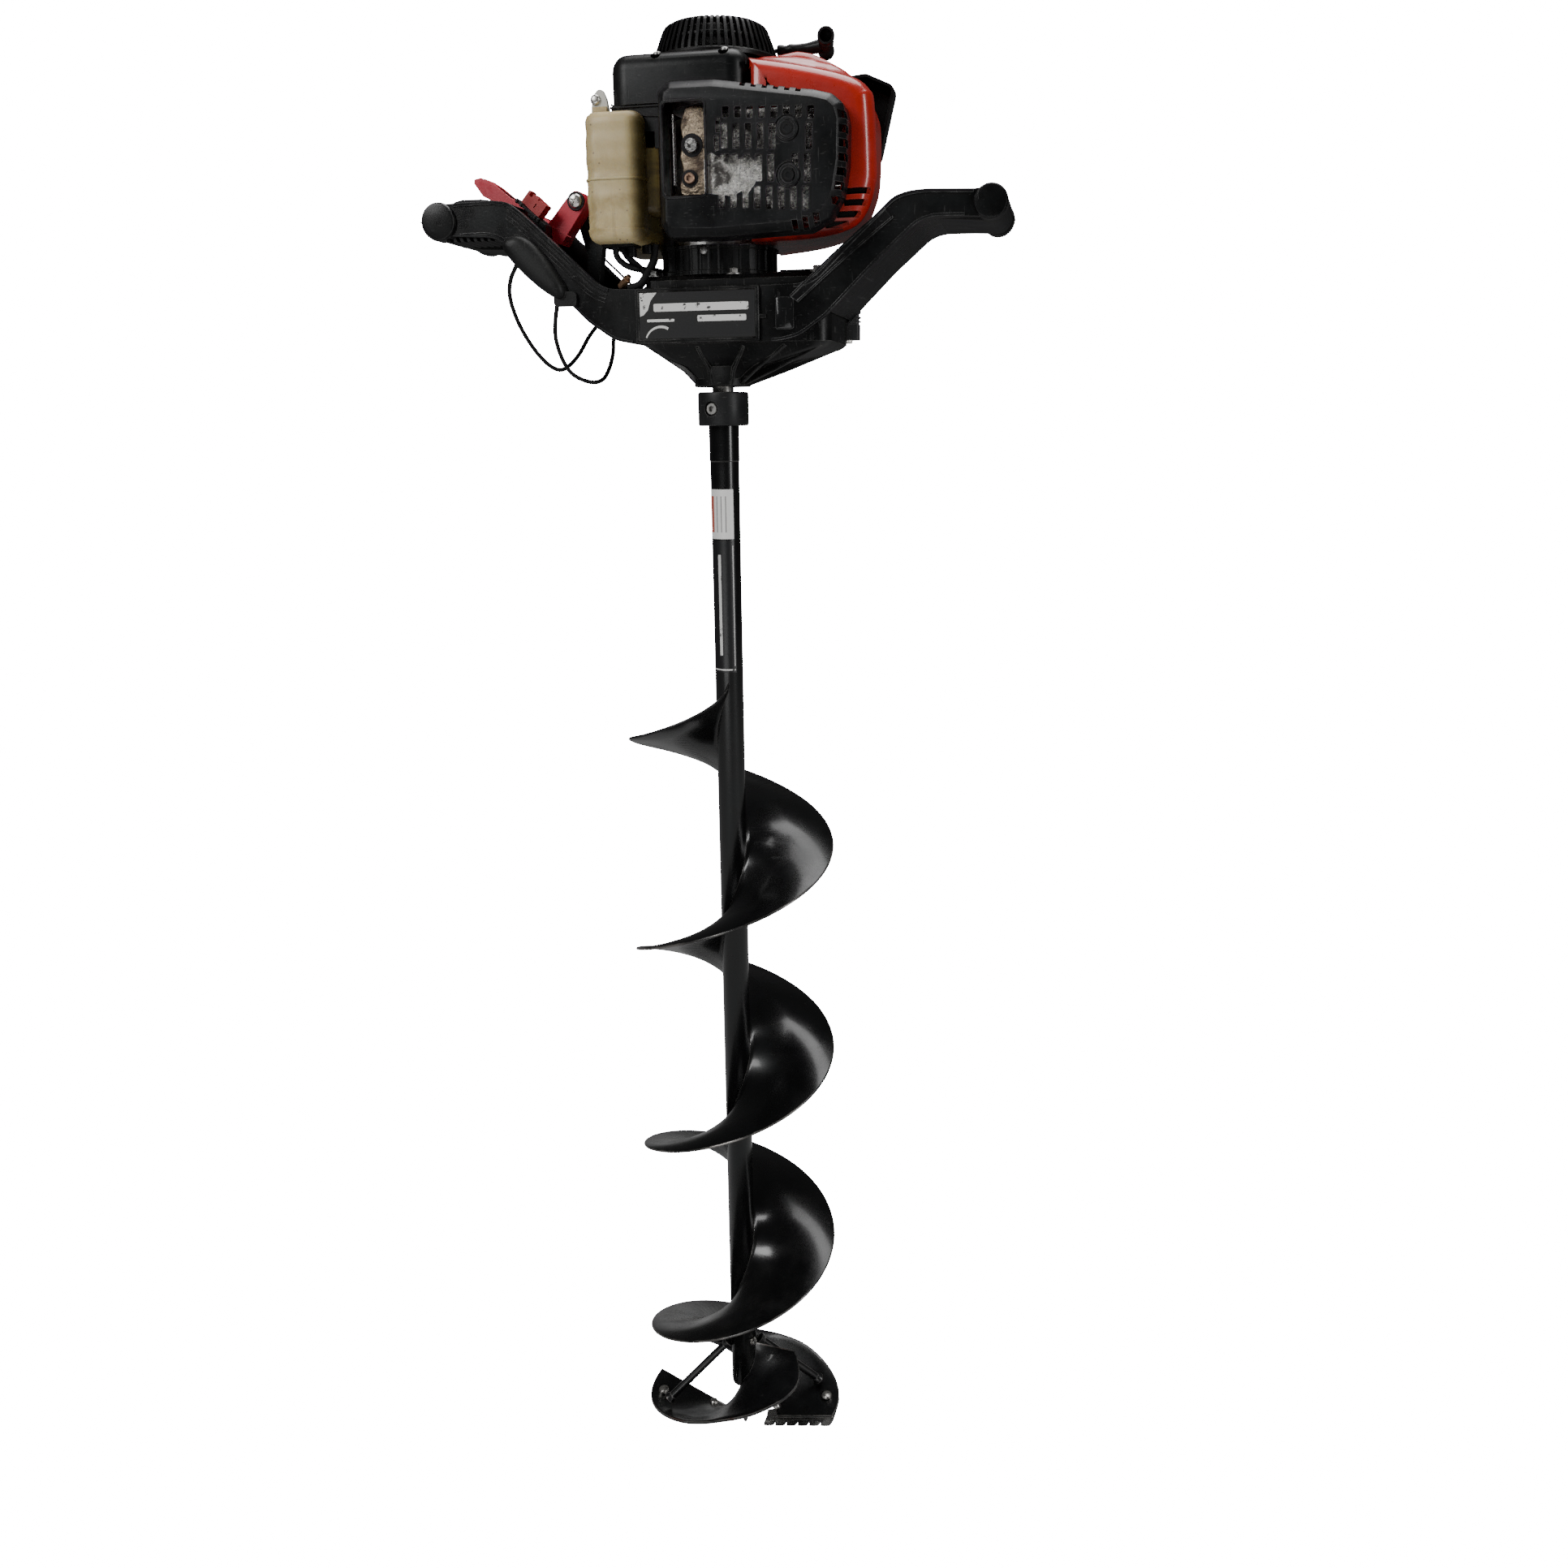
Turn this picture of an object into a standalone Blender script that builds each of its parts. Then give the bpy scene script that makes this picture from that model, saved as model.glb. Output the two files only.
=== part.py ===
"""Engine-driven ice fishing auger: powerhead with two handle arms over an eight-inch drill.

Metres, +Z up. The drill's axis is Z, its centre point stands at the origin, and the
front of the powerhead, which carries the plain label panel, faces -Y.
"""
import math

import bmesh
import bpy
from mathutils import Matrix, Vector

MM = 0.001
GAP = 0.3 * MM
TAU = 2.0 * math.pi

# drill
SHAFT_R = 13.0 * MM
SHAFT_BORE_R = 10.5 * MM
SHAFT_BOTTOM = 56.0 * MM
SHAFT_TOP = 1.049
FLIGHT_R = 97.0 * MM
FLIGHT_PITCH = 0.2107
FLIGHT_THICK = 3.0 * MM
FLIGHT_ZERO_Z = 23.0 * MM
FLIGHT_ZERO_AZ = math.radians(14.0)
FLIGHT_START = 75.0
FLIGHT_FULL = (95.0, 1260.0)
FLIGHT_END = 1345.0
POINT_R = 4.0 * MM

# cutting head: angle behind the leading edge, inner radius and height, outer radius and height (mm)
WING_LEAD_AZ = -25.0
WING_THICK = 3.0 * MM
WING_STATIONS = (
    (0.0, 37.0, 18.0, 100.5, 37.0),
    (28.0, 30.0, 23.0, 100.5, 38.0),
    (63.0, 30.0, 35.0, 90.0, 50.0),
    (82.0, 22.0, 45.0, 81.0, 56.0),
    (100.0, 13.3, 58.0, 74.0, 61.0),
    (130.0, 13.3, 68.0, 70.0, 68.0),
    (165.0, 13.3, 82.0, 71.0, 80.0),
    (190.0, 13.3, 100.0, 55.0, 96.0),
)
BLADE_ROOT_R = 24.0 * MM
BLADE_TIP_R = 101.6 * MM
BLADE_THICK = 3.2 * MM
BLADE_TEETH = 6
STRUT_AZ = 8.0

# coupling
COLLAR_R = 22.5 * MM
COLLAR_Z = (1.043, 1.072)
OUTPUT_R = 9.5 * MM
BOLT_Z = 1.0575
BOLT_AZ = math.radians(-106.0)
BOLT_R = 3.0 * MM

# gearbox: two spur stages on one layshaft, so the drill and the engine share an axis
LAY_X = 54.0 * MM
FIRST_MODULE = 1.5 * MM
FIRST_TEETH = (12, 60)
SECOND_MODULE = 2.0 * MM
SECOND_TEETH = (11, 43)
OUTPUT_GEAR_Z = (1.122, 1.136)
FIRST_GEAR_Z = (1.1415, 1.1515)
CASE_X = (-60.0 * MM, 105.0 * MM)
CASE_Y = 50.5 * MM
CASE_WALL = 3.6 * MM
CASE_BOTTOM = 1.111
CASE_TOP = 1.1545
LID_TOP = 1.166

# clutch housing and engine
NECK_R = 50.0 * MM
NECK_TOP = 1.1895
DRUM_R = 28.5 * MM
CYL_Z = 1.252
CRANKCASE_R = 40.0 * MM
CRANKCASE_Z = (1.1898, 1.2900)
CRANK_THROW = 16.0 * MM
ROD_LENGTH = 55.0 * MM
PISTON_R = 20.0 * MM
BORE_R = 20.4 * MM
CYL_X = (38.6 * MM, 98.0 * MM)
SHROUD_X = (-73.5 * MM, 40.8 * MM)
SHROUD_Y = 68.0 * MM
SHROUD_Z = (1.2955, 1.3345)
COVER_Y = 70.0 * MM
STARTER_BASE = 1.3350
STARTER_TOP = 1.3665
ROPE_Y = 24.8 * MM
ROPE_Z = 1.3500

# handle arms
ARM_Y = 56.0 * MM
ARM_WALL = 5.0 * MM
LEFT_GRIP = (233.5 * MM, 1.2150, 15.5 * MM)
RIGHT_GRIP = (235.5 * MM, 1.2125, 13.5 * MM)
LEVER_PIVOT = (-125.5 * MM, 0.0, 1.2335)

CORD_R = 1.9 * MM


# ---------------------------------------------------------------- helpers

def material(name, colour, roughness, metallic=0.0):
    """One Principled material, made once and reused by name."""
    found = bpy.data.materials.get(name)
    if found:
        return found
    mat = bpy.data.materials.new(name)
    mat.use_nodes = True
    shader = mat.node_tree.nodes["Principled BSDF"]
    shader.inputs["Base Color"].default_value = (*colour, 1.0)
    shader.inputs["Roughness"].default_value = roughness
    shader.inputs["Metallic"].default_value = metallic
    return mat


def black_plastic():
    return material("black_plastic", (0.018, 0.018, 0.019), 0.5)


def black_paint():
    return material("black_paint", (0.012, 0.012, 0.013), 0.25)


def red_plastic():
    return material("red_plastic", (0.55, 0.03, 0.015), 0.38)


def red_control():
    return material("red_control", (0.52, 0.02, 0.04), 0.5)


def tank_plastic():
    return material("tank_plastic", (0.62, 0.52, 0.30), 0.45)


def cast_alloy():
    return material("cast_alloy", (0.42, 0.42, 0.42), 0.5, 1.0)


def steel():
    return material("steel", (0.5, 0.5, 0.5), 0.35, 1.0)


def rubber():
    return material("rubber", (0.012, 0.012, 0.012), 0.75)


def finish(name, bm, mat, origin=(0.0, 0.0, 0.0)):
    """Turn a bmesh into a shaded object whose origin is at the given point."""
    bmesh.ops.recalc_face_normals(bm, faces=bm.faces[:])
    bmesh.ops.translate(bm, verts=bm.verts[:], vec=-Vector(origin))
    mesh = bpy.data.meshes.new(name)
    bm.to_mesh(mesh)
    bm.free()
    mesh.shade_smooth()
    mesh.set_sharp_from_angle(angle=math.radians(32.0))
    mesh.materials.append(mat)
    obj = bpy.data.objects.new(name, mesh)
    obj.location = origin
    bpy.context.collection.objects.link(obj)
    return obj


def combine(obj, tools, operation):
    """Apply Boolean steps with throw-away tools and keep one clean mesh on the object."""
    for tool in tools:
        step = obj.modifiers.new("step", "BOOLEAN")
        step.operation = operation
        step.object = tool
        bpy.context.view_layer.update()
        depsgraph = bpy.context.evaluated_depsgraph_get()
        mesh = bpy.data.meshes.new_from_object(obj.evaluated_get(depsgraph))
        obj.modifiers.clear()
        old = obj.data
        obj.data = mesh
        bpy.data.meshes.remove(old)
        bpy.data.objects.remove(tool)
    return obj


def cut(obj, *tools):
    return combine(obj, tools, "DIFFERENCE")


def weld(obj, *tools):
    return combine(obj, tools, "UNION")


def loops_to_body(bm, loops, closed=False):
    """Skin a run of equal vertex loops; a closed run joins its last loop to its first."""
    rings = [[bm.verts.new(point) for point in loop] for loop in loops]
    pairs = list(zip(rings, rings[1:]))
    if closed:
        pairs.append((rings[-1], rings[0]))
    for low, high in pairs:
        count = len(low)
        for i in range(count):
            j = (i + 1) % count
            bm.faces.new((low[i], low[j], high[j], high[i]))
    if not closed:
        bm.faces.new(rings[0])
        bm.faces.new(rings[-1])


def lofted(name, loops, mat, closed=False, origin=(0.0, 0.0, 0.0)):
    bm = bmesh.new()
    loops_to_body(bm, loops, closed)
    return finish(name, bm, mat, origin)


def plane_point(plane, u, v, w):
    """Place an outline point: plane xz takes (x, z) with w along Y, and so on."""
    if plane == "xz":
        return Vector((u, w, v))
    if plane == "xy":
        return Vector((u, v, w))
    return Vector((w, u, v))


def prism(name, outline, plane, low, high, mat, origin=(0.0, 0.0, 0.0)):
    loops = [[plane_point(plane, u, v, w) for u, v in outline] for w in (low, high)]
    return lofted(name, loops, mat, origin=origin)


def block(name, low, high, mat, bevel=0.0, origin=(0.0, 0.0, 0.0)):
    bm = bmesh.new()
    bmesh.ops.create_cube(bm, size=1.0)
    size = Vector(high) - Vector(low)
    middle = (Vector(high) + Vector(low)) / 2
    bmesh.ops.scale(bm, verts=bm.verts[:], vec=size)
    bmesh.ops.translate(bm, verts=bm.verts[:], vec=middle)
    if bevel:
        bmesh.ops.bevel(bm, geom=bm.edges[:], offset=bevel, segments=2, profile=0.5, affect="EDGES")
    return finish(name, bm, mat, origin)


def turned(name, profile, mat, segments=32, axis="z", centre=(0.0, 0.0, 0.0), origin=None):
    """Revolve a closed (radius, height) profile; radius 0 points become poles."""
    bm = bmesh.new()
    rings = []
    for radius, height in profile:
        if radius < 1e-7:
            rings.append([bm.verts.new(turned_point(axis, 0.0, 0.0, height, centre))])
            continue
        ring = []
        for i in range(segments):
            angle = TAU * i / segments
            point = turned_point(axis, radius * math.cos(angle), radius * math.sin(angle), height, centre)
            ring.append(bm.verts.new(point))
        rings.append(ring)
    for a, b in zip(rings, rings[1:] + rings[:1]):
        if len(a) == 1 and len(b) == 1:
            continue
        for i in range(segments):
            j = (i + 1) % segments
            if len(a) == 1:
                bm.faces.new((a[0], b[j], b[i]))
            elif len(b) == 1:
                bm.faces.new((a[i], a[j], b[0]))
            else:
                bm.faces.new((a[i], a[j], b[j], b[i]))
    return finish(name, bm, mat, origin or (0.0, 0.0, 0.0))


def turned_point(axis, a, b, height, centre):
    cx, cy, cz = centre
    if axis == "z":
        return (cx + a, cy + b, cz + height)
    if axis == "x":
        return (cx + height, cy + a, cz + b)
    return (cx + a, cy + height, cz + b)


def rod(name, start, end, radius, mat, segments=16):
    """A round bar between two points."""
    start, end = Vector(start), Vector(end)
    bm = bmesh.new()
    bmesh.ops.create_cone(bm, cap_ends=True, segments=segments, radius1=radius, radius2=radius,
                          depth=(end - start).length)
    turn = (end - start).to_track_quat("Z", "Y").to_matrix().to_4x4()
    bmesh.ops.transform(bm, matrix=Matrix.Translation((start + end) / 2) @ turn, verts=bm.verts[:])
    return finish(name, bm, mat)


def arc(cx, cy, radius, start_deg, end_deg, steps):
    points = []
    for i in range(steps + 1):
        angle = math.radians(start_deg + (end_deg - start_deg) * i / steps)
        points.append((cx + radius * math.cos(angle), cy + radius * math.sin(angle)))
    return points


def round_box_outline(low, high, radius, steps=4):
    (x0, y0), (x1, y1) = low, high
    outline = arc(x1 - radius, y1 - radius, radius, 0, 90, steps)
    outline += arc(x0 + radius, y1 - radius, radius, 90, 180, steps)
    outline += arc(x0 + radius, y0 + radius, radius, 180, 270, steps)
    outline += arc(x1 - radius, y0 + radius, radius, 270, 360, steps)
    return outline


def inset(outline, distance):
    """Move each edge of a convex outline inwards by the same distance."""
    count = len(outline)
    area = sum(outline[i][0] * outline[(i + 1) % count][1] - outline[(i + 1) % count][0] * outline[i][1]
               for i in range(count))
    sign = 1.0 if area > 0 else -1.0
    moved = []
    for i in range(count):
        before, here, after = (Vector(outline[(i + k) % count]) for k in (-1, 0, 1))
        first = (here - before).normalized()
        second = (after - here).normalized()
        normal_1 = Vector((-first.y, first.x)) * sign
        normal_2 = Vector((-second.y, second.x)) * sign
        bisector = (normal_1 + normal_2).normalized()
        moved.append(tuple(here + bisector * distance / max(0.3, bisector.dot(normal_1))))
    return moved


def circle_like(outline, radius):
    """A circle about the axis with one point in the direction of each outline point."""
    return [tuple(Vector(point).normalized() * radius) for point in outline]


def smooth_route(points, step):
    """Evenly spaced points on a Catmull-Rom curve through a hand-chosen route."""
    route = [Vector(p) for p in points]
    route = [2 * route[0] - route[1]] + route + [2 * route[-1] - route[-2]]
    dense = []
    for k in range(1, len(route) - 2):
        p0, p1, p2, p3 = route[k - 1:k + 3]
        for i in range(24):
            t = i / 24
            dense.append(0.5 * (2 * p1 + (p2 - p0) * t + (2 * p0 - 5 * p1 + 4 * p2 - p3) * t * t
                                + (3 * p1 - p0 - 3 * p2 + p3) * t ** 3))
    dense.append(route[-2])
    total = sum((b - a).length for a, b in zip(dense, dense[1:]))
    count = max(2, round(total / step))
    spaced, walked, k = [dense[0]], 0.0, 0
    for i in range(1, count):
        target = total * i / count
        while walked + (dense[k + 1] - dense[k]).length < target:
            walked += (dense[k + 1] - dense[k]).length
            k += 1
        part = (target - walked) / (dense[k + 1] - dense[k]).length
        spaced.append(dense[k].lerp(dense[k + 1], part))
    spaced.append(dense[-1])
    return spaced


def cord(name, route, radius, mat, step=None, sides=2):
    """A flexible round cord as a bevelled curve with filled ends."""
    points = smooth_route(route, step or radius * 6)
    curve = bpy.data.curves.new(name, "CURVE")
    curve.dimensions = "3D"
    curve.bevel_depth = radius
    curve.bevel_resolution = sides
    curve.use_fill_caps = True
    spline = curve.splines.new("POLY")
    spline.points.add(len(points) - 1)
    for slot, point in zip(spline.points, points):
        slot.co = (*point, 1.0)
    curve.materials.append(mat)
    obj = bpy.data.objects.new(name, curve)
    bpy.context.collection.objects.link(obj)
    return obj


# ---------------------------------------------------------------- drill

def flight_z(azimuth_deg):
    """Height of the flight's top face at an azimuth counted on from the right-hand wing."""
    return FLIGHT_ZERO_Z + FLIGHT_PITCH * azimuth_deg / 360.0


def helix_plate(name, stations, thickness, mat):
    """A pressed spiral: each station is (azimuth, inner radius and height, outer radius and height)."""
    loops = []
    drop = Vector((0.0, 0.0, -thickness))
    for azimuth, inner_r, inner_z, outer_r, outer_z in stations:
        angle = math.radians(azimuth) + FLIGHT_ZERO_AZ
        inner = Vector((inner_r * math.cos(angle), inner_r * math.sin(angle), inner_z))
        outer = Vector((outer_r * math.cos(angle), outer_r * math.sin(angle), outer_z))
        loops.append([inner + drop, outer + drop, outer, inner])
    return lofted(name, loops, mat)


def flight_outer_radius(azimuth):
    """Trimmed at its lower end, full width between, swept back to the shaft at its top."""
    if azimuth < FLIGHT_FULL[0]:
        part = (azimuth - FLIGHT_START) / (FLIGHT_FULL[0] - FLIGHT_START)
        return 0.60 * FLIGHT_R + 0.40 * FLIGHT_R * part
    if azimuth > FLIGHT_FULL[1]:
        part = (azimuth - FLIGHT_FULL[1]) / (FLIGHT_END - FLIGHT_FULL[1])
        return FLIGHT_R + (SHAFT_R + 2.0 * MM - FLIGHT_R) * part ** 0.8
    return FLIGHT_R


def main_flighting():
    """Right-hand helicoid from just above the cutting head to its swept-back top end."""
    root = SHAFT_R + GAP
    steps = round((FLIGHT_END - FLIGHT_START) / 13.0)
    stations = []
    for i in range(steps + 1):
        azimuth = FLIGHT_START + (FLIGHT_END - FLIGHT_START) * i / steps
        height = flight_z(azimuth)
        stations.append((azimuth, root, height, flight_outer_radius(azimuth), height))
    return helix_plate("flighting", stations, FLIGHT_THICK, black_paint())


def wing_station(sweep):
    """Inner and outer edge of a wing at an angle behind its leading edge, in millimetres."""
    for low, high in zip(WING_STATIONS, WING_STATIONS[1:]):
        if sweep <= high[0]:
            part = (sweep - low[0]) / (high[0] - low[0])
            return [a + (b - a) * part for a, b in zip(low[1:], high[1:])]
    return list(WING_STATIONS[-1][1:])


def wing(name, half_turn):
    """Formed steel wing that carries a blade and winds up on to the shaft."""
    last = WING_STATIONS[-1][0]
    steps = 20
    stations = []
    for i in range(steps + 1):
        sweep = last * i / steps
        edges = [value * MM for value in wing_station(sweep)]
        stations.append((WING_LEAD_AZ + half_turn * 180.0 + sweep, *edges))
    return helix_plate(name, stations, WING_THICK, black_paint())


def blade(name, half_turn):
    """Serrated cutting blade bolted under a wing's leading edge, its bevel turned down."""
    lead = math.radians(WING_LEAD_AZ + half_turn * 180.0) + FLIGHT_ZERO_AZ
    _, in_r, in_z, out_r, out_z = WING_STATIONS[0]
    rise = (out_z - in_z) / (out_r - in_r)
    pitch = (BLADE_TIP_R - BLADE_ROOT_R) / BLADE_TEETH
    marks = []
    for k in range(BLADE_TEETH):
        start = BLADE_ROOT_R + k * pitch
        marks += [(start, 4.0 * MM), (start + 1.6 * MM, 7.0 * MM), (start + pitch - 1.6 * MM, 7.0 * MM)]
    marks.append((BLADE_TIP_R, 4.0 * MM))
    sections = []
    for radius, reach in marks:
        under = in_z * MM + (radius - in_r * MM) * rise - WING_THICK - GAP
        width = 13.0 * MM + 0.26 * (radius - BLADE_ROOT_R)
        sections.append([blade_point(lead, radius, width, under),
                         blade_point(lead, radius, 0.0, under),
                         blade_point(lead, radius, -reach, under - reach * 0.6),
                         blade_point(lead, radius, 1.0 * MM, under - BLADE_THICK),
                         blade_point(lead, radius, width, under - BLADE_THICK)])
    return lofted(name, sections, steel())


def blade_point(lead, radius, behind, height):
    """A point at a radius, an arc length behind the leading edge."""
    angle = lead + behind / radius
    return Vector((radius * math.cos(angle), radius * math.sin(angle), height))


def strut(name, half_turn):
    """Round stay from a wing's upper face to the side of the shaft."""
    angle = math.radians(STRUT_AZ + half_turn * 180.0) + FLIGHT_ZERO_AZ
    outward = Vector((math.cos(angle), math.sin(angle), 0.0))
    foot = outward * 80.0 * MM + Vector((0, 0, 43.0 * MM))
    head = outward * (SHAFT_R + 4.2 * MM) + Vector((0, 0, 0.1010))
    return rod(name, foot, head, 4.0 * MM, black_paint(), 12)


def drill_parts():
    turned("drill_shaft", [(SHAFT_R, SHAFT_BOTTOM), (SHAFT_R, SHAFT_TOP), (SHAFT_BORE_R, SHAFT_TOP),
                           (SHAFT_BORE_R, SHAFT_BOTTOM)], black_paint(), 28)
    plug_r = SHAFT_BORE_R - GAP
    turned("centre_point", [(0.0, 0.0), (1.5 * MM, 0.0), (POINT_R - 0.6 * MM, 6.0 * MM), (POINT_R, 12.0 * MM),
                            (POINT_R, 52.0 * MM), (SHAFT_R - 0.5 * MM, 53.0 * MM),
                            (SHAFT_R - 0.5 * MM, SHAFT_BOTTOM - GAP), (plug_r, SHAFT_BOTTOM - GAP),
                            (plug_r, SHAFT_BOTTOM + 25.0 * MM), (0.0, SHAFT_BOTTOM + 25.0 * MM)],
           black_paint(), 24)
    main_flighting()
    for half_turn, side in enumerate(("right", "left")):
        wing("wing_" + side, half_turn)
        blade("blade_" + side, half_turn)
        strut("strut_" + side, half_turn)


def coupling_parts():
    """Collar welded to the drill, and the bolt that pins it to the gearbox output."""
    low, high = COLLAR_Z
    collar = turned("coupling_collar", [
        (COLLAR_R - 1.5 * MM, low), (COLLAR_R, low + 1.5 * MM), (COLLAR_R, high - 1.5 * MM),
        (COLLAR_R - 1.5 * MM, high), (OUTPUT_R + GAP, high), (OUTPUT_R + GAP, SHAFT_TOP + GAP),
        (SHAFT_R + GAP, SHAFT_TOP + GAP), (SHAFT_R + GAP, low)], black_plastic(), 28)
    out = Vector((math.cos(BOLT_AZ), math.sin(BOLT_AZ), 0.0))
    centre = Vector((0.0, 0.0, BOLT_Z))
    hole = rod("hole", centre - out * 30 * MM, centre + out * 30 * MM, BOLT_R + GAP, steel(), 16)
    recess = rod("recess", centre + out * 16.0 * MM, centre + out * 30 * MM, 6.4 * MM, steel(), 20)
    cut(collar, hole, recess)
    shank = rod("coupling_bolt", centre - out * 21.5 * MM, centre + out * 18 * MM, BOLT_R, steel(), 16)
    head = rod("head", centre + out * 16.4 * MM, centre + out * 21.0 * MM, 4.9 * MM, steel(), 20)
    socket = rod("socket", centre + out * 18.6 * MM, centre + out * 24 * MM, 2.4 * MM, steel(), 6)
    weld(shank, head)
    cut(shank, socket)


# ---------------------------------------------------------------- gearbox

def gear_outline(teeth, module, phase=0.0, addendum=0.85, dedendum=1.2):
    """Straight-flanked spur teeth with running clearance, four points to a tooth."""
    pitch_r = teeth * module / 2
    tip_r = pitch_r + addendum * module
    root_r = pitch_r - dedendum * module
    half_tip = 0.30 * module / tip_r
    half_pitch = 0.66 * module / pitch_r
    half_root = half_pitch + (half_pitch - half_tip * tip_r / pitch_r) * dedendum / addendum
    outline = []
    for k in range(teeth):
        middle = phase + TAU * k / teeth
        for radius, offset in ((root_r, -half_root), (tip_r, -half_tip), (tip_r, half_tip), (root_r, half_root)):
            outline.append((radius * math.cos(middle + offset), radius * math.sin(middle + offset)))
    return outline


def shifted(outline, dx, dy=0.0):
    return [(x + dx, y + dy) for x, y in outline]


def output_shaft():
    """Output gear and the spindle that drives the drill."""
    shaft = turned("output_shaft", [(0.0, 1.0462), (OUTPUT_R - 0.8 * MM, 1.0462), (OUTPUT_R, 1.0470),
                                    (OUTPUT_R, 1.1160), (14.0 * MM, 1.1160), (14.0 * MM, 1.1380),
                                    (0.0, 1.1380)], steel(), 24)
    gear = prism("gear", gear_outline(SECOND_TEETH[1], SECOND_MODULE), "xy", *OUTPUT_GEAR_Z, steel())
    out = Vector((math.cos(BOLT_AZ), math.sin(BOLT_AZ), 0.0))
    centre = Vector((0.0, 0.0, BOLT_Z))
    weld(shaft, gear)
    cut(shaft, rod("hole", centre - out * 30 * MM, centre + out * 30 * MM, BOLT_R + GAP, steel(), 16))
    return shaft


def layshaft():
    """Layshaft with the large first-stage gear above the small second-stage pinion."""
    small_phase = math.pi + math.pi / SECOND_TEETH[0]
    spindle = turned("layshaft", [(0.0, 1.1095), (5.0 * MM, 1.1095), (5.0 * MM, 1.1610), (0.0, 1.1610)],
                     steel(), 16, centre=(LAY_X, 0.0, 0.0), origin=(LAY_X, 0.0, 0.0))
    pinion = prism("pinion", shifted(gear_outline(SECOND_TEETH[0], SECOND_MODULE, small_phase), LAY_X), "xy",
                   OUTPUT_GEAR_Z[0] - 1.0 * MM, FIRST_GEAR_Z[0] + 1.0 * MM, steel())
    big_phase = math.pi + math.pi / FIRST_TEETH[1]
    wheel = prism("wheel", shifted(gear_outline(FIRST_TEETH[1], FIRST_MODULE, big_phase), LAY_X), "xy",
                  *FIRST_GEAR_Z, steel())
    return weld(spindle, pinion, wheel)


def clutch_drum():
    """Clutch drum with the input pinion on its stem."""
    stem_r = 7.5 * MM
    inner = DRUM_R - 2.0 * MM
    drum = turned("clutch_drum", [(0.0, 1.1530), (stem_r, 1.1530), (stem_r, 1.1675), (DRUM_R, 1.1675),
                                  (DRUM_R, 1.1885), (inner, 1.1885), (inner, 1.1700), (0.0, 1.1700)],
                  steel(), 36)
    pinion = prism("pinion", gear_outline(FIRST_TEETH[0], FIRST_MODULE), "xy",
                   FIRST_GEAR_Z[0] - 1.0 * MM, 1.1535, steel())
    return weld(drum, pinion)


def ring_at(outline, z):
    return [Vector((x, y, z)) for x, y in outline]


def gear_case():
    """Cast lower case: tapering funnel with ribs, bearing seats and the gear chamber."""
    outer = round_box_outline((CASE_X[0], -CASE_Y), (CASE_X[1], CASE_Y), 14.0 * MM, 4)
    inner = inset(outer, CASE_WALL)
    waist = [(x * 0.50 if x < 0 else x * 0.42, y * 0.52) for x, y in outer]
    boss = circle_like(outer, 25.0 * MM)
    loops = [
        ring_at(boss, 1.0765), ring_at(boss, 1.0830), ring_at(waist, 1.0950), ring_at(inset(outer, 5 * MM), 1.1070),
        ring_at(outer, CASE_BOTTOM), ring_at(outer, CASE_TOP), ring_at(inner, CASE_TOP), ring_at(inner, 1.1175),
        ring_at(circle_like(outer, 21.3 * MM), 1.1150), ring_at(circle_like(outer, 21.3 * MM), 1.1037),
        ring_at(circle_like(outer, 18.3 * MM), 1.1037), ring_at(circle_like(outer, 18.3 * MM), 1.0765)]
    case = lofted("gear_case", loops, black_plastic(), closed=True)
    tools = []
    for x, y in ((-52.0, -42.0), (-52.0, 42.0), (96.0, -42.0), (96.0, 42.0), (30.0, -47.0), (30.0, 47.0)):
        reach = math.hypot(x, y) * MM
        rib = [(20.0 * MM, 1.0780), (24.0 * MM, 1.0780), (reach, 1.1085), (reach, 1.1130), (20.0 * MM, 1.1130)]
        web = prism("rib", rib, "xz", -1.6 * MM, 1.6 * MM, black_plastic())
        web.rotation_euler.z = math.atan2(y, x)
        tools.append(web)
    weld(case, *tools)
    bore = rod("bore", (0, 0, 1.070), (0, 0, 1.1160), 18.3 * MM, steel(), 24)
    seat = rod("seat", (0, 0, 1.1037), (0, 0, 1.1300), 21.3 * MM, steel(), 24)
    foot = rod("foot", (LAY_X, 0, 1.1090), (LAY_X, 0, 1.1300), 5.3 * MM, steel(), 16)
    cut(case, bore, seat, foot)
    return case


def gear_case_lid():
    outline = round_box_outline((CASE_X[0] + 4 * MM, -CASE_Y + 1 * MM), (CASE_X[1] - 1 * MM, CASE_Y - 1 * MM),
                                12.0 * MM, 4)
    step = inset(outline, 4.0 * MM)
    loops = [ring_at(outline, CASE_TOP + GAP), ring_at(outline, LID_TOP - 4 * MM), ring_at(step, LID_TOP)]
    lid = lofted("gear_case_lid", loops, black_plastic())
    stem_hole = rod("stem_hole", (0, 0, 1.150), (0, 0, 1.170), 7.9 * MM, steel(), 24)
    top_hole = rod("top_hole", (LAY_X, 0, 1.150), (LAY_X, 0, 1.1614), 5.3 * MM, steel(), 16)
    pinion_room = rod("pinion_room", (0, 0, 1.150), (0, 0, 1.1560), 11.0 * MM, steel(), 24)
    return cut(lid, stem_hole, top_hole, pinion_room)


def bearing_ring(name, outer_r, low, high, mat):
    inner_r = OUTPUT_R + GAP
    return turned(name, [(inner_r, low), (outer_r, low), (outer_r, high), (inner_r, high)], mat, 28)


def gearbox_parts():
    gear_case()
    gear_case_lid()
    output_shaft()
    layshaft()
    clutch_drum()
    bearing_ring("lower_bearing", 18.0 * MM, 1.0840, 1.0960, steel())
    bearing_ring("upper_bearing", 21.0 * MM, 1.1042, 1.1145, steel())
    clutch_housing()


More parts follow.
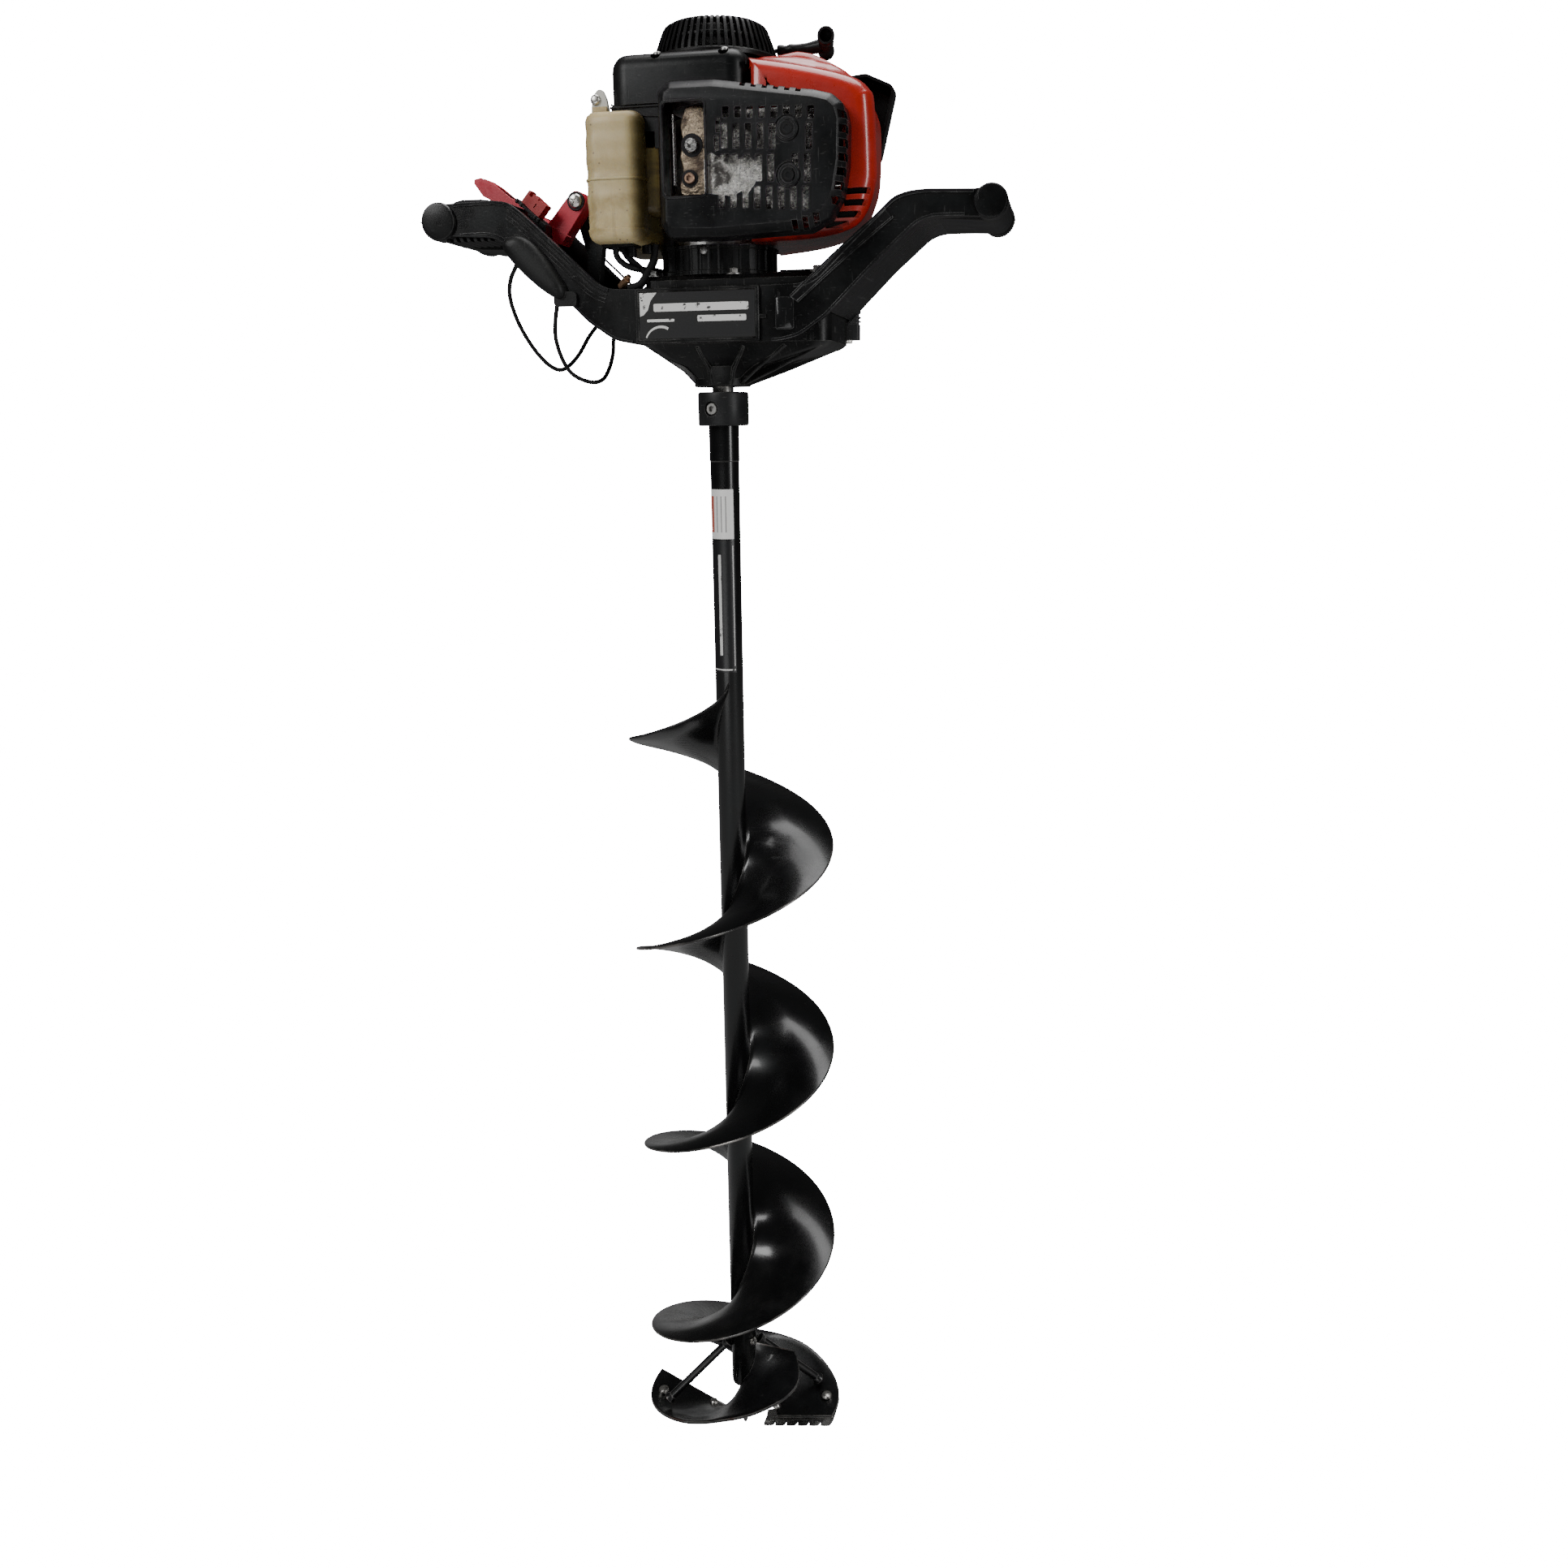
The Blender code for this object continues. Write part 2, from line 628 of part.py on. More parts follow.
def clutch_housing():
    """Fluted neck between gearbox and engine with four bolt columns."""
    outline = []
    for i in range(72):
        angle = TAU * i / 72
        column = max(0.0, -math.cos(4 * angle)) ** 10
        flute = 0.7 * MM if i % 3 == 0 else 0.0
        radius = NECK_R - flute + 3.0 * MM * column
        outline.append((radius * math.cos(angle), radius * math.sin(angle)))
    neck = prism("clutch_housing", outline, "xy", LID_TOP + GAP, NECK_TOP, black_plastic())
    room = rod("room", (0, 0, 1.160), (0, 0, 1.200), DRUM_R + 1.5 * MM, steel(), 36)
    return cut(neck, room)


# ---------------------------------------------------------------- handle arms

def arm_outline(side):
    """Side view of an arm drawn to the right, out to its round grip bar; the left grip is deeper."""
    outline = [(GAP, CASE_BOTTOM), (62.0 * MM, CASE_BOTTOM), (80.0 * MM, 1.1145), (103.0 * MM, 1.1300),
               (147.0 * MM, 1.1730), (178.0 * MM, 1.1995), (190.0 * MM, 1.2030), (215.0 * MM, 1.2025)]
    grip_x, grip_z, grip_r = LEFT_GRIP if side < 0 else RIGHT_GRIP
    outline += arc(grip_x, grip_z, grip_r, -90, 90, 10)
    if side < 0:
        outline += [(184.0 * MM, 1.2300), (170.0 * MM, 1.2285)]
    else:
        outline += [(222.0 * MM, 1.2225), (184.0 * MM, 1.2240), (170.0 * MM, 1.2230)]
    outline += [(158.0 * MM, 1.2195), (125.0 * MM, 1.1900), (94.0 * MM, 1.1610), (82.0 * MM, 1.1560), (GAP, 1.1550)]
    return outline


def arm_channel(room_x):
    """The part of the arm between its two walls that stays open, down to the floor web."""
    floor = [(room_x, 1.09)]
    if room_x < 80.0 * MM:
        floor += [(room_x, 1.1170), (80.0 * MM, 1.1205), (103.0 * MM, 1.1365)]
    else:
        floor += [(room_x, 1.1395)]
    floor += [(147.0 * MM, 1.1775), (166.0 * MM, 1.1945), (171.0 * MM, 1.2450)]
    return [(-10.0 * MM, 1.09)] + floor + [(-10.0 * MM, 1.2450)]


def mirrored(outline, side):
    return [(side * x, z) for x, z in outline]


def handle_arm(name, side, room_x, front_end):
    arm = prism(name, mirrored(arm_outline(side), side), "xz", -ARM_Y, ARM_Y, black_plastic())
    inner = ARM_Y - ARM_WALL
    channel = prism("channel", mirrored(arm_channel(room_x), side), "xz", -inner, inner, black_plastic())
    ends = sorted((-side * 10.0 * MM, side * front_end))
    front = block("front", (ends[0], -70.0 * MM, 1.09), (ends[1], -45.0 * MM, 1.17), black_plastic())
    return cut(arm, channel, front)


def left_arm():
    """Left arm, with the slot in its grip top that the throttle paddle dips into."""
    arm = handle_arm("left_arm", -1, 62.5 * MM, 60.5 * MM)
    slot = block("slot", (-221.0 * MM, -12.0 * MM, 1.2090), (-160.0 * MM, 12.0 * MM, 1.2500), black_plastic())
    return cut(arm, slot)


def handle_parts():
    left_arm()
    handle_arm("right_arm", 1, 106.0 * MM, 47.5 * MM)
    block("front_panel", (-60.0 * MM, -59.5 * MM, 1.1112), (47.0 * MM, -51.0 * MM, 1.1555),
          black_plastic(), 1.2 * MM)
    rear_clamp()
    throttle_cover()


def rear_clamp():
    """Clamp block behind the right arm's root with its bolt hole."""
    clamp = block("rear_clamp", (88.0 * MM, 56.5 * MM, 1.1170), (112.0 * MM, 68.0 * MM, 1.1560),
                  black_plastic(), 1.5 * MM)
    return cut(clamp, rod("hole", (100 * MM, 62.5 * MM, 1.11), (100 * MM, 62.5 * MM, 1.17), 3 * MM, steel(), 14))


def throttle_cover():
    """Kidney-shaped swelling on the left arm's front wall that houses the cable end."""
    outline = [(-172.0, 1200.0), (-176.0, 1194.0), (-171.0, 1184.0), (-161.0, 1173.0), (-150.0, 1163.0),
               (-138.0, 1154.0), (-127.0, 1148.5), (-121.5, 1152.0), (-122.0, 1160.0), (-129.0, 1171.0),
               (-138.0, 1184.0), (-149.0, 1196.0), (-160.0, 1201.5)]
    outline = [(x * MM, z * MM) for x, z in outline]
    loops = []
    for y, depth in ((-56.3, 0.0), (-61.0, 0.0), (-64.5, 3.5), (-66.0, 8.5)):
        loops.append([Vector((x, y * MM, z)) for x, z in inset(outline, depth * MM)])
    return lofted("throttle_cover", loops, black_plastic())


# ---------------------------------------------------------------- controls

def throttle_lever():
    """Red lever: flat thumb paddle, elbow in the channel and an arm up to its pivot."""
    px, _, pz = LEVER_PIVOT
    outline = [(-219.0 * MM, 1.2555), (-219.5 * MM, 1.2520), (-212.0 * MM, 1.2415), (-200.0 * MM, 1.2350),
               (-183.0 * MM, 1.2275), (-152.0 * MM, 1.2015), (-141.0 * MM, 1.1985)]
    outline += arc(px, pz, 8.5 * MM, -40, 150, 9)
    outline += [(-152.0 * MM, 1.2170), (-172.0 * MM, 1.2320), (-186.0 * MM, 1.2390), (-199.0 * MM, 1.2495),
                (-207.5 * MM, 1.2550), (-213.0 * MM, 1.2565)]
    lever = prism("throttle_lever", outline, "xz", -10.0 * MM, 10.0 * MM, red_control(), origin=LEVER_PIVOT)
    return cut(lever, rod("eye", (px, -20 * MM, pz), (px, 20 * MM, pz), 4.6 * MM, steel(), 18))


def lever_post():
    """Black post from the arm's channel that carries the lever's pivot."""
    px, _, pz = LEVER_PIVOT
    outline = [(-117.0 * MM, 1.1500), (-110.0 * MM, 1.2000), (px + 8.5 * MM, pz - 2 * MM)]
    outline += arc(px, pz, 8.5 * MM, 0, 180, 8)
    outline += [(px - 8.5 * MM, pz - 8.0 * MM), (-124.0 * MM, 1.1900), (-127.0 * MM, 1.1610)]
    post = prism("lever_post", outline, "xz", 10.6 * MM, 22.0 * MM, black_plastic())
    pin = rod("pin", (px, -10.0 * MM, pz), (px, 16 * MM, pz), 4.2 * MM, steel(), 18)
    return weld(post, pin)


def slope_block(name, centre, size, mat, bevel, origin):
    """A block laid along the arm's slope: long side down the arm, height square to it."""
    bm = bmesh.new()
    bmesh.ops.create_cube(bm, size=1.0)
    bmesh.ops.scale(bm, verts=bm.verts[:], vec=size)
    bmesh.ops.bevel(bm, geom=bm.edges[:], offset=bevel, segments=1, profile=0.5, affect="EDGES")
    turn = Matrix.Rotation(math.radians(42.0), 4, "Y")
    bmesh.ops.transform(bm, matrix=Matrix.Translation(centre) @ turn, verts=bm.verts[:])
    return finish(name, bm, mat, origin)


SWITCH_AT = Vector((-157.5 * MM, -22.0 * MM, 1.2305))


def switch_parts():
    """Stop switch: red rocker on a black base that stands on the channel floor."""
    slope_block("stop_switch", SWITCH_AT, (20 * MM, 13 * MM, 12 * MM), red_control(), 1.5 * MM, SWITCH_AT)
    outline = [(-163.0 * MM, 1.1924), (-147.3 * MM, 1.1783), (-147.3 * MM, 1.2128), (-163.0 * MM, 1.2269)]
    prism("switch_base", outline, "xz", -30.0 * MM, -14.0 * MM, black_plastic())


# ---------------------------------------------------------------- engine

def crankcase(name, low, high):
    """One crankcase half around the crank chamber, flat where the cylinder bolts on."""
    flat = CYL_X[0] - GAP
    half = math.degrees(math.acos(flat / CRANKCASE_R))
    outline = arc(0.0, 0.0, CRANKCASE_R, half, 360.0 - half, 30)
    half_case = prism(name, outline, "xy", low, high, cast_alloy())
    chamber = rod("chamber", (0, 0, CYL_Z - 15 * MM), (0, 0, CYL_Z + 15 * MM), 33.0 * MM, steel(), 36)
    journal = rod("journal", (0, 0, 1.18), (0, 0, 1.30), 7.5 * MM, steel(), 20)
    mouth = rod("mouth", (20 * MM, 0, CYL_Z), (50 * MM, 0, CYL_Z), BORE_R + 1.0 * MM, steel(), 32)
    return cut(half_case, chamber, journal, mouth)


def cylinder():
    """Finned cylinder lying along +X, open at the crankcase, plug hole in its head."""
    body_r = 24.0 * MM
    profile = [(BORE_R, CYL_X[0]), (body_r + 4 * MM, CYL_X[0]), (body_r + 4 * MM, CYL_X[0] + 5 * MM)]
    fin, pitch, count = 2.4 * MM, 8.0 * MM, 6
    start = CYL_X[0] + 8.0 * MM
    for i in range(count):
        x = start + i * pitch
        fin_r = 36.0 * MM - (i / (count - 1)) ** 3 * 6.0 * MM
        profile += [(body_r, x), (fin_r, x), (fin_r, x + fin), (body_r, x + fin)]
    profile += [(body_r, CYL_X[1]), (6.9 * MM, CYL_X[1]), (6.9 * MM, CYL_X[1] - 6 * MM),
                (BORE_R, CYL_X[1] - 6 * MM)]
    barrel = turned("cylinder", profile, cast_alloy(), 22, axis="x", centre=(0.0, 0.0, CYL_Z))
    exhaust = rod("exhaust", (66 * MM, -22 * MM, CYL_Z), (66 * MM, -46.6 * MM, CYL_Z), 11 * MM, steel(), 14)
    intake = rod("intake", (70 * MM, 22 * MM, CYL_Z), (70 * MM, 40 * MM, CYL_Z), 12 * MM, steel(), 14)
    weld(barrel, exhaust, intake)
    ports = [rod("port", (66 * MM, 0, CYL_Z), (66 * MM, -60 * MM, CYL_Z), 7 * MM, steel(), 12),
             rod("port", (70 * MM, 0, CYL_Z), (70 * MM, 60 * MM, CYL_Z), 7 * MM, steel(), 12)]
    return cut(barrel, *ports)


def crank_web(name, web, journal):
    """One crank web with its journal; the crank pin between the webs is left open."""
    web_r = 25.0 * MM
    cheek = 9.0 * MM
    outline = arc(0.0, 0.0, web_r, 60, 300, 14)
    outline += arc(CRANK_THROW, 0.0, cheek, -60, 60, 5)
    part = prism(name, outline, "xy", *web, steel())
    return weld(part, rod("journal", (0, 0, journal[0]), (0, 0, journal[1]), 7.0 * MM, steel(), 20))


def crank_parts():
    crank_web("upper_crankshaft", (CYL_Z + 5.5 * MM, CYL_Z + 12.5 * MM), (CYL_Z + 8 * MM, 1.3330))
    crank_web("lower_crankshaft", (CYL_Z - 12.5 * MM, CYL_Z - 5.5 * MM), (1.1715, CYL_Z - 8 * MM))
    flywheel()
    for k, side in enumerate("ab"):
        clutch_shoe("clutch_shoe_" + side, k * 180.0)


def clutch_shoe(name, turn_deg):
    inner, outer = 9.0 * MM, 24.5 * MM
    outline = arc(0.0, 0.0, outer, turn_deg + 22, turn_deg + 158, 14)
    outline += arc(0.0, 0.0, inner, turn_deg + 150, turn_deg + 30, 8)
    return prism(name, outline, "xy", 1.1718, 1.1860, steel())


def flywheel():
    """Flywheel and fan: a disc with a rim of straight vanes on its top."""
    hub_r = 11.0 * MM
    wheel = turned("flywheel", [(7.3 * MM, 1.2960), (hub_r, 1.2960), (hub_r, 1.3000), (37.5 * MM, 1.3000),
                                (37.5 * MM, 1.3140), (hub_r, 1.3140), (hub_r, 1.3200), (7.3 * MM, 1.3200)],
                   cast_alloy(), 28)
    vanes = []
    for k in range(10):
        vane = block("vane", (20.0 * MM, -1.2 * MM, 1.3130), (36.5 * MM, 1.2 * MM, 1.3260), steel())
        vane.rotation_euler.z = TAU * k / 10
        vanes.append(vane)
    return weld(wheel, *vanes)


WRIST_X = CRANK_THROW + ROD_LENGTH


def piston():
    """Piston at the top of its stroke: a cup open towards the crank."""
    skirt, crown = WRIST_X - 12.0 * MM, WRIST_X + 18.0 * MM
    inner_r = 16.8 * MM
    return turned("piston", [(inner_r, skirt), (PISTON_R, skirt), (PISTON_R, crown), (0.0, crown),
                             (0.0, crown - 5 * MM), (inner_r, crown - 5 * MM)], cast_alloy(), 28,
                  axis="x", centre=(0.0, 0.0, CYL_Z), origin=(WRIST_X, 0.0, CYL_Z))


def connecting_rod():
    """Connecting rod with its wrist pin; its big end is open where the crank pin would run."""
    small, big = 6.5 * MM, 9.0 * MM
    outline = arc(WRIST_X, 0.0, small, -120, 120, 8)
    outline += arc(CRANK_THROW, 0.0, big, 35, 325, 14)
    link = prism("connecting_rod", outline, "xy", CYL_Z - 4 * MM, CYL_Z + 4 * MM, steel(),
                 origin=(WRIST_X, 0.0, CYL_Z))
    pin = rod("pin", (WRIST_X, 0, CYL_Z - 15.8 * MM), (WRIST_X, 0, CYL_Z + 15.8 * MM), 4 * MM, steel(), 14)
    eye = rod("eye", (CRANK_THROW, 0, CYL_Z - 9 * MM), (CRANK_THROW, 0, CYL_Z + 9 * MM), 5.5 * MM, steel(), 16)
    weld(link, pin)
    return cut(link, eye)


def spark_plug():
    return turned("spark_plug", [(0.0, 93.0 * MM), (5.0 * MM, 93.0 * MM), (6.6 * MM, 94.0 * MM),
                                 (6.6 * MM, CYL_X[1] + GAP), (9.5 * MM, CYL_X[1] + GAP),
                                 (9.5 * MM, 105.0 * MM), (5.0 * MM, 105.5 * MM), (4.2 * MM, 113.0 * MM),
                                 (0.0, 113.0 * MM)],
                  steel(), 18, axis="x", centre=(0.0, 0.0, CYL_Z))


def plug_boot():
    return turned("plug_boot", [(5.4 * MM, 106.5 * MM), (8.0 * MM, 106.5 * MM), (8.0 * MM, 122.0 * MM),
                                (6.0 * MM, 125.5 * MM), (0.0, 125.5 * MM), (0.0, 114.0 * MM),
                                (5.4 * MM, 114.0 * MM)], rubber(), 18, axis="x", centre=(0.0, 0.0, CYL_Z))


def muffler():
    """Silencer box with the inlet pipe that meets the cylinder's exhaust flange."""
    can = block("muffler", (2.0 * MM, -97.5 * MM, 1.2035), (102.0 * MM, -71.0 * MM, 1.2835),
                material("muffler_steel", (0.55, 0.52, 0.46), 0.35, 1.0), 6 * MM)
    pipe = rod("pipe", (66 * MM, -76 * MM, CYL_Z), (66 * MM, -47 * MM, CYL_Z), 10 * MM, steel(), 20)
    weld(can, pipe)
    room = block("room", (4.0 * MM, -95.5 * MM, 1.2055), (100.0 * MM, -73.0 * MM, 1.2815), steel(), 4 * MM)
    inlet = rod("inlet", (66 * MM, -80 * MM, CYL_Z), (66 * MM, -40 * MM, CYL_Z), 7 * MM, steel(), 16)
    weld(room, inlet)
    return cut(can, room)


def muffler_outline():
    return [(-24.0 * MM, 1.2970), (-15.0 * MM, 1.3045), (22.0 * MM, 1.3040), (101.0 * MM, 1.2925),
            (115.0 * MM, 1.2890), (123.5 * MM, 1.2820), (126.5 * MM, 1.2700), (126.0 * MM, 1.2400),
            (122.0 * MM, 1.2165), (112.5 * MM, 1.2000), (96.0 * MM, 1.1915), (22.0 * MM, 1.1885),
            (-18.0 * MM, 1.1895), (-24.5 * MM, 1.1990)]


def muffler_cover():
    """Heat guard in front of the muffler: open window on the left, rows of slots."""
    outline = muffler_outline()

    def loop(y, depth):
        return [Vector((x, y * MM, z)) for x, z in inset(outline, depth * MM)]

    loops = [loop(-100.8, 8.0), loop(-94.0, 2.2), loop(-70.8, 2.2), loop(-70.8, 0.0), loop(-95.0, 0.0),
             loop(-103.0, 7.0)]
    shell = lofted("muffler_cover", loops, black_plastic())
    window = prism("window", round_box_outline((-19.0 * MM, 1.2190), (15.5 * MM, 1.2880), 4.0 * MM, 3), "xz",
                   -0.115, -0.090, steel())
    cut(shell, window)
    slots = []
    for row, (low, high) in enumerate(((1.2745, 1.2825), (1.2525, 1.2705), (1.2290, 1.2485), (1.2090, 1.2250))):
        for k in range(8):
            x = 30.0 * MM + k * 9.6 * MM - row * 1.5 * MM
            slots.append(block("slot", (x, -0.115, low), (x + 5.0 * MM, -0.095, high), steel()))
    return cut(shell, *slots)


RED_FRONT = ((41.2, 1327.0), (62.0, 1323.5), (85.0, 1319.0), (112.0, 1312.5), (129.0, 1306.5), (138.0, 1299.0),
             (142.0, 1289.0), (144.5, 1243.0), (143.5, 1228.0), (137.0, 1209.0), (124.0, 1196.5), (92.0, 1190.0),
             (41.2, 1189.0))
RED_REAR = ((41.2, 1334.6), (62.0, 1334.6), (85.0, 1331.0), (106.0, 1325.0), (121.0, 1314.0), (129.0, 1300.0),
            (131.5, 1284.0), (131.0, 1247.0), (127.0, 1229.0), (119.0, 1213.0), (105.0, 1202.5), (80.0, 1195.5),
            (41.2, 1191.0))


def red_section(y, toward_rear, depth):
    """The cover's section at one depth: part way from the front outline to the rear one."""
    outline = [(MM * (a[0] + (b[0] - a[0]) * toward_rear), MM * (a[1] + (b[1] - a[1]) * toward_rear))
               for a, b in zip(RED_FRONT, RED_REAR)]
    return [Vector((x, y * MM, z)) for x, z in inset(outline, depth * MM)]


def red_cover():
    """Red cylinder cover: rounded, widest at its front, with a raised crest and open on the fan side."""
    loops = [red_section(y, toward_rear, depth) for y, toward_rear, depth in (
        (-67.6, 0.0, 24.0), (-70.0, 0.0, 24.0), (-70.0, 0.0, 12.5), (-68.6, 0.0, 7.0), (-65.0, 0.0, 3.0),
        (-60.0, 0.0, 0.8), (-54.0, 0.0, 0.0),
        (-34.0, 0.35, 0.0), (-26.0, 1.0, 0.0), (63.0, 1.0, 0.0), (68.2, 1.0, 1.8), (70.0, 1.0, 5.5),
        (70.0, 1.0, 13.0), (67.6, 1.0, 13.0), (67.6, 1.0, 7.0), (63.0, 1.0, 2.5), (-25.0, 1.0, 2.5),
        (-33.5, 0.35, 2.5), (-53.5, 0.0, 2.5), (-59.0, 0.0, 3.3), (-63.2, 0.0, 5.3), (-66.4, 0.0, 8.6),
        (-67.6, 0.0, 13.0))]
    shell = lofted("red_cover", loops, red_plastic(), closed=True)
    side = block("side", (30.0 * MM, -66.0 * MM, 1.1975), (60.0 * MM, 66.0 * MM, 1.3180), steel())
    pipe_room = rod("pipe_room", (66 * MM, -80 * MM, CYL_Z), (66 * MM, -60 * MM, CYL_Z), 11.5 * MM, steel(), 20)
    slots = []
    for x, z in ((129.5, 1222.7), (125.0, 1214.1), (117.0, 1205.5)):
        slots.append(block("slot", ((x - 9.0) * MM, -0.075, (z - 2.4) * MM), ((x + 7.0) * MM, -0.060, (z + 2.4) * MM),
                           steel()))
    return cut(shell, side, pipe_room, *slots)


def fan_shroud():
    """Flat black fan housing with its round air inlet under the starter."""
    outer = round_box_outline((SHROUD_X[0], -SHROUD_Y), (SHROUD_X[1], SHROUD_Y), 16.0 * MM, 5)
    low, high = SHROUD_Z
    wall = 2.5 * MM
    inlet = circle_like(outer, 38.0 * MM)
    loops = [ring_at(outer, low), ring_at(outer, high - 13 * MM), ring_at(inset(outer, 1.6 * MM), high - 7 * MM),
             ring_at(inset(outer, 5.5 * MM), high - 2.2 * MM), ring_at(inset(outer, 11 * MM), high),
             ring_at(inlet, high), ring_at(inlet, high - wall), ring_at(inset(outer, 12 * MM), high - wall),
             ring_at(inset(outer, 4.5 * MM), high - 8 * MM), ring_at(inset(outer, wall), high - 13 * MM),
             ring_at(inset(outer, wall), low)]
    return lofted("fan_shroud", loops, black_plastic(), closed=True)


def starter_housing():
    """Recoil starter dome with louvres and the post that the rope pulley turns on."""
    base, top = STARTER_BASE, STARTER_TOP
    wall = 2.4 * MM
    dome = turned("starter_housing", [
        (0.0, top), (30.0 * MM, top), (38.5 * MM, top - 2.2 * MM), (43.5 * MM, top - 6.5 * MM),
        (50.0 * MM, base + 10.0 * MM), (52.0 * MM, base + 4.0 * MM), (52.0 * MM, base), (49.6 * MM, base),
        (49.6 * MM, base + 3.5 * MM), (47.6 * MM, base + 9.4 * MM), (41.6 * MM, top - 8.0 * MM),
        (37.2 * MM, top - 4.6 * MM), (29.5 * MM, top - wall), (6.0 * MM, top - wall),
        (6.0 * MM, base + 2.0 * MM), (0.0, base + 2.0 * MM)], black_plastic(), 32)
    louvres = []
    for k in range(16):
        angle = TAU * (k + 0.5) / 16
        if abs(math.degrees(angle) - 33.0) < 18.0:
            continue
        louvre = block("louvre", (36.0 * MM, -1.5 * MM, base + 9 * MM), (58 * MM, 1.5 * MM, top - 5.5 * MM), steel())
        louvre.rotation_euler.z = angle
        louvres.append(louvre)
    guide = rod("guide", (22 * MM, ROPE_Y, ROPE_Z), (60 * MM, ROPE_Y, ROPE_Z), 2.6 * MM, steel(), 14)
    return cut(dome, *louvres, guide)


def starter_parts():
    starter_housing()
    turned("starter_pulley", [(6.4 * MM, 1.3440), (27.5 * MM, 1.3440), (27.5 * MM, 1.3455), (22.5 * MM, 1.3475),
                              (22.5 * MM, 1.3525), (27.5 * MM, 1.3545), (27.5 * MM, 1.3560),
                              (6.4 * MM, 1.3560)], black_plastic(), 32)
    rod("starter_rope", (2.0 * MM, ROPE_Y, ROPE_Z), (47.7 * MM, ROPE_Y, ROPE_Z), 2.0 * MM, rubber(), 12)
    pull_handle()


def pull_handle():
    """Tee handle of the starter: a hollow cross tube on a short stem."""
    front = Vector((95.5 * MM, -10.0 * MM, 1.3510))
    rear = Vector((83.5 * MM, 60.0 * MM, 1.3555))
    tube = rod("pull_handle", front, rear, 6.8 * MM, black_plastic(), 20)
    stem = rod("stem", (48.0 * MM, ROPE_Y, ROPE_Z), (88.0 * MM, ROPE_Y, ROPE_Z), 4.6 * MM, black_plastic(), 16)
    weld(tube, stem)
    along = (rear - front).normalized()
    return cut(tube, rod("hollow", front - along * 2 * MM, front + along * 14 * MM, 5.0 * MM, steel(), 16))


def fuel_tank():
    """Translucent side tank: hollow, with its filler neck on the outer side."""
    outer = round_box_outline((-93.0 * MM, -85.0 * MM), (-43.0 * MM, 55.0 * MM), 13.0 * MM, 4)
    low, high = 1.1900, 1.2895
    wall = 2.2 * MM
    loops = [ring_at(inset(outer, 6 * MM), low), ring_at(inset(outer, 1.5 * MM), low + 3 * MM),
             ring_at(outer, low + 9 * MM), ring_at(outer, high - 9 * MM),
             ring_at(inset(outer, 1.5 * MM), high - 3 * MM), ring_at(inset(outer, 6 * MM), high)]
    tank = lofted("fuel_tank", loops, tank_plastic())
    lobe = block("lobe", (-50.0 * MM, -66.0 * MM, 1.2130), (-33.5 * MM, -38.0 * MM, 1.2810), tank_plastic(), 4 * MM)
    neck = rod("neck", (-90.0 * MM, 26.0 * MM, 1.2600), (-101.0 * MM, 26.0 * MM, 1.2600), 12 * MM, steel(), 24)
    weld(tank, lobe, neck)
    room = [ring_at(inset(outer, 6 * MM + wall), low + wall), ring_at(inset(outer, wall), low + 10 * MM),
            ring_at(inset(outer, wall), high - 10 * MM), ring_at(inset(outer, 6 * MM + wall), high - wall)]
    cavity = lofted("cavity", room, tank_plastic())
    mouth = rod("mouth", (-80 * MM, 26 * MM, 1.26), (-110 * MM, 26 * MM, 1.26), 9.5 * MM, steel(), 24)
    weld(cavity, mouth)
    return cut(tank, cavity)


def fuel_cap():
    """Screw cap over the filler neck with a plug into its bore."""
    profile = [(0.0, -91.5 * MM), (9.0 * MM, -91.5 * MM), (9.0 * MM, -101.4 * MM), (12.4 * MM, -101.4 * MM),
               (12.4 * MM, -96.0 * MM), (16.5 * MM, -96.0 * MM), (16.5 * MM, -111.0 * MM), (0.0, -111.0 * MM)]
    return turned("fuel_cap", profile, black_plastic(), 24, axis="x", centre=(0.0, 26.0 * MM, 1.26),
                  origin=(-96.0 * MM, 26.0 * MM, 1.26))


def intake_parts():
    """Inlet manifold, carburetor, its throttle disc and choke, and the air filter cover."""
    flange = [(7.5 * MM, 40.4 * MM), (14.0 * MM, 40.4 * MM), (14.0 * MM, 44 * MM), (11.0 * MM, 44 * MM),
              (11.0 * MM, 60 * MM), (7.5 * MM, 60 * MM)]
    turned("intake_manifold", flange, cast_alloy(), 20, axis="y", centre=(70 * MM, 0.0, CYL_Z))
    body = block("carburetor", (54.5 * MM, 60.5 * MM, 1.2350), (88.0 * MM, 88.0 * MM, 1.2700), cast_alloy(), 2 * MM)
    throat = rod("throat", (70 * MM, 50 * MM, CYL_Z), (70 * MM, 100 * MM, CYL_Z), 8.0 * MM, steel(), 24)
    spindle = rod("spindle", (70 * MM, 74 * MM, CYL_Z), (70 * MM, 74 * MM, 1.280), 2.3 * MM, steel(), 12)
    choke = rod("choke", (70 * MM, 83 * MM, CYL_Z), (70 * MM, 83 * MM, 1.230), 2.3 * MM, steel(), 12)
    cut(body, throat, spindle, choke)
    throttle_arm()
    choke_lever()
    air_filter_cover()


THROTTLE_AXIS = (70.0 * MM, 74.0 * MM)
CHOKE_AXIS = (70.0 * MM, 83.0 * MM)


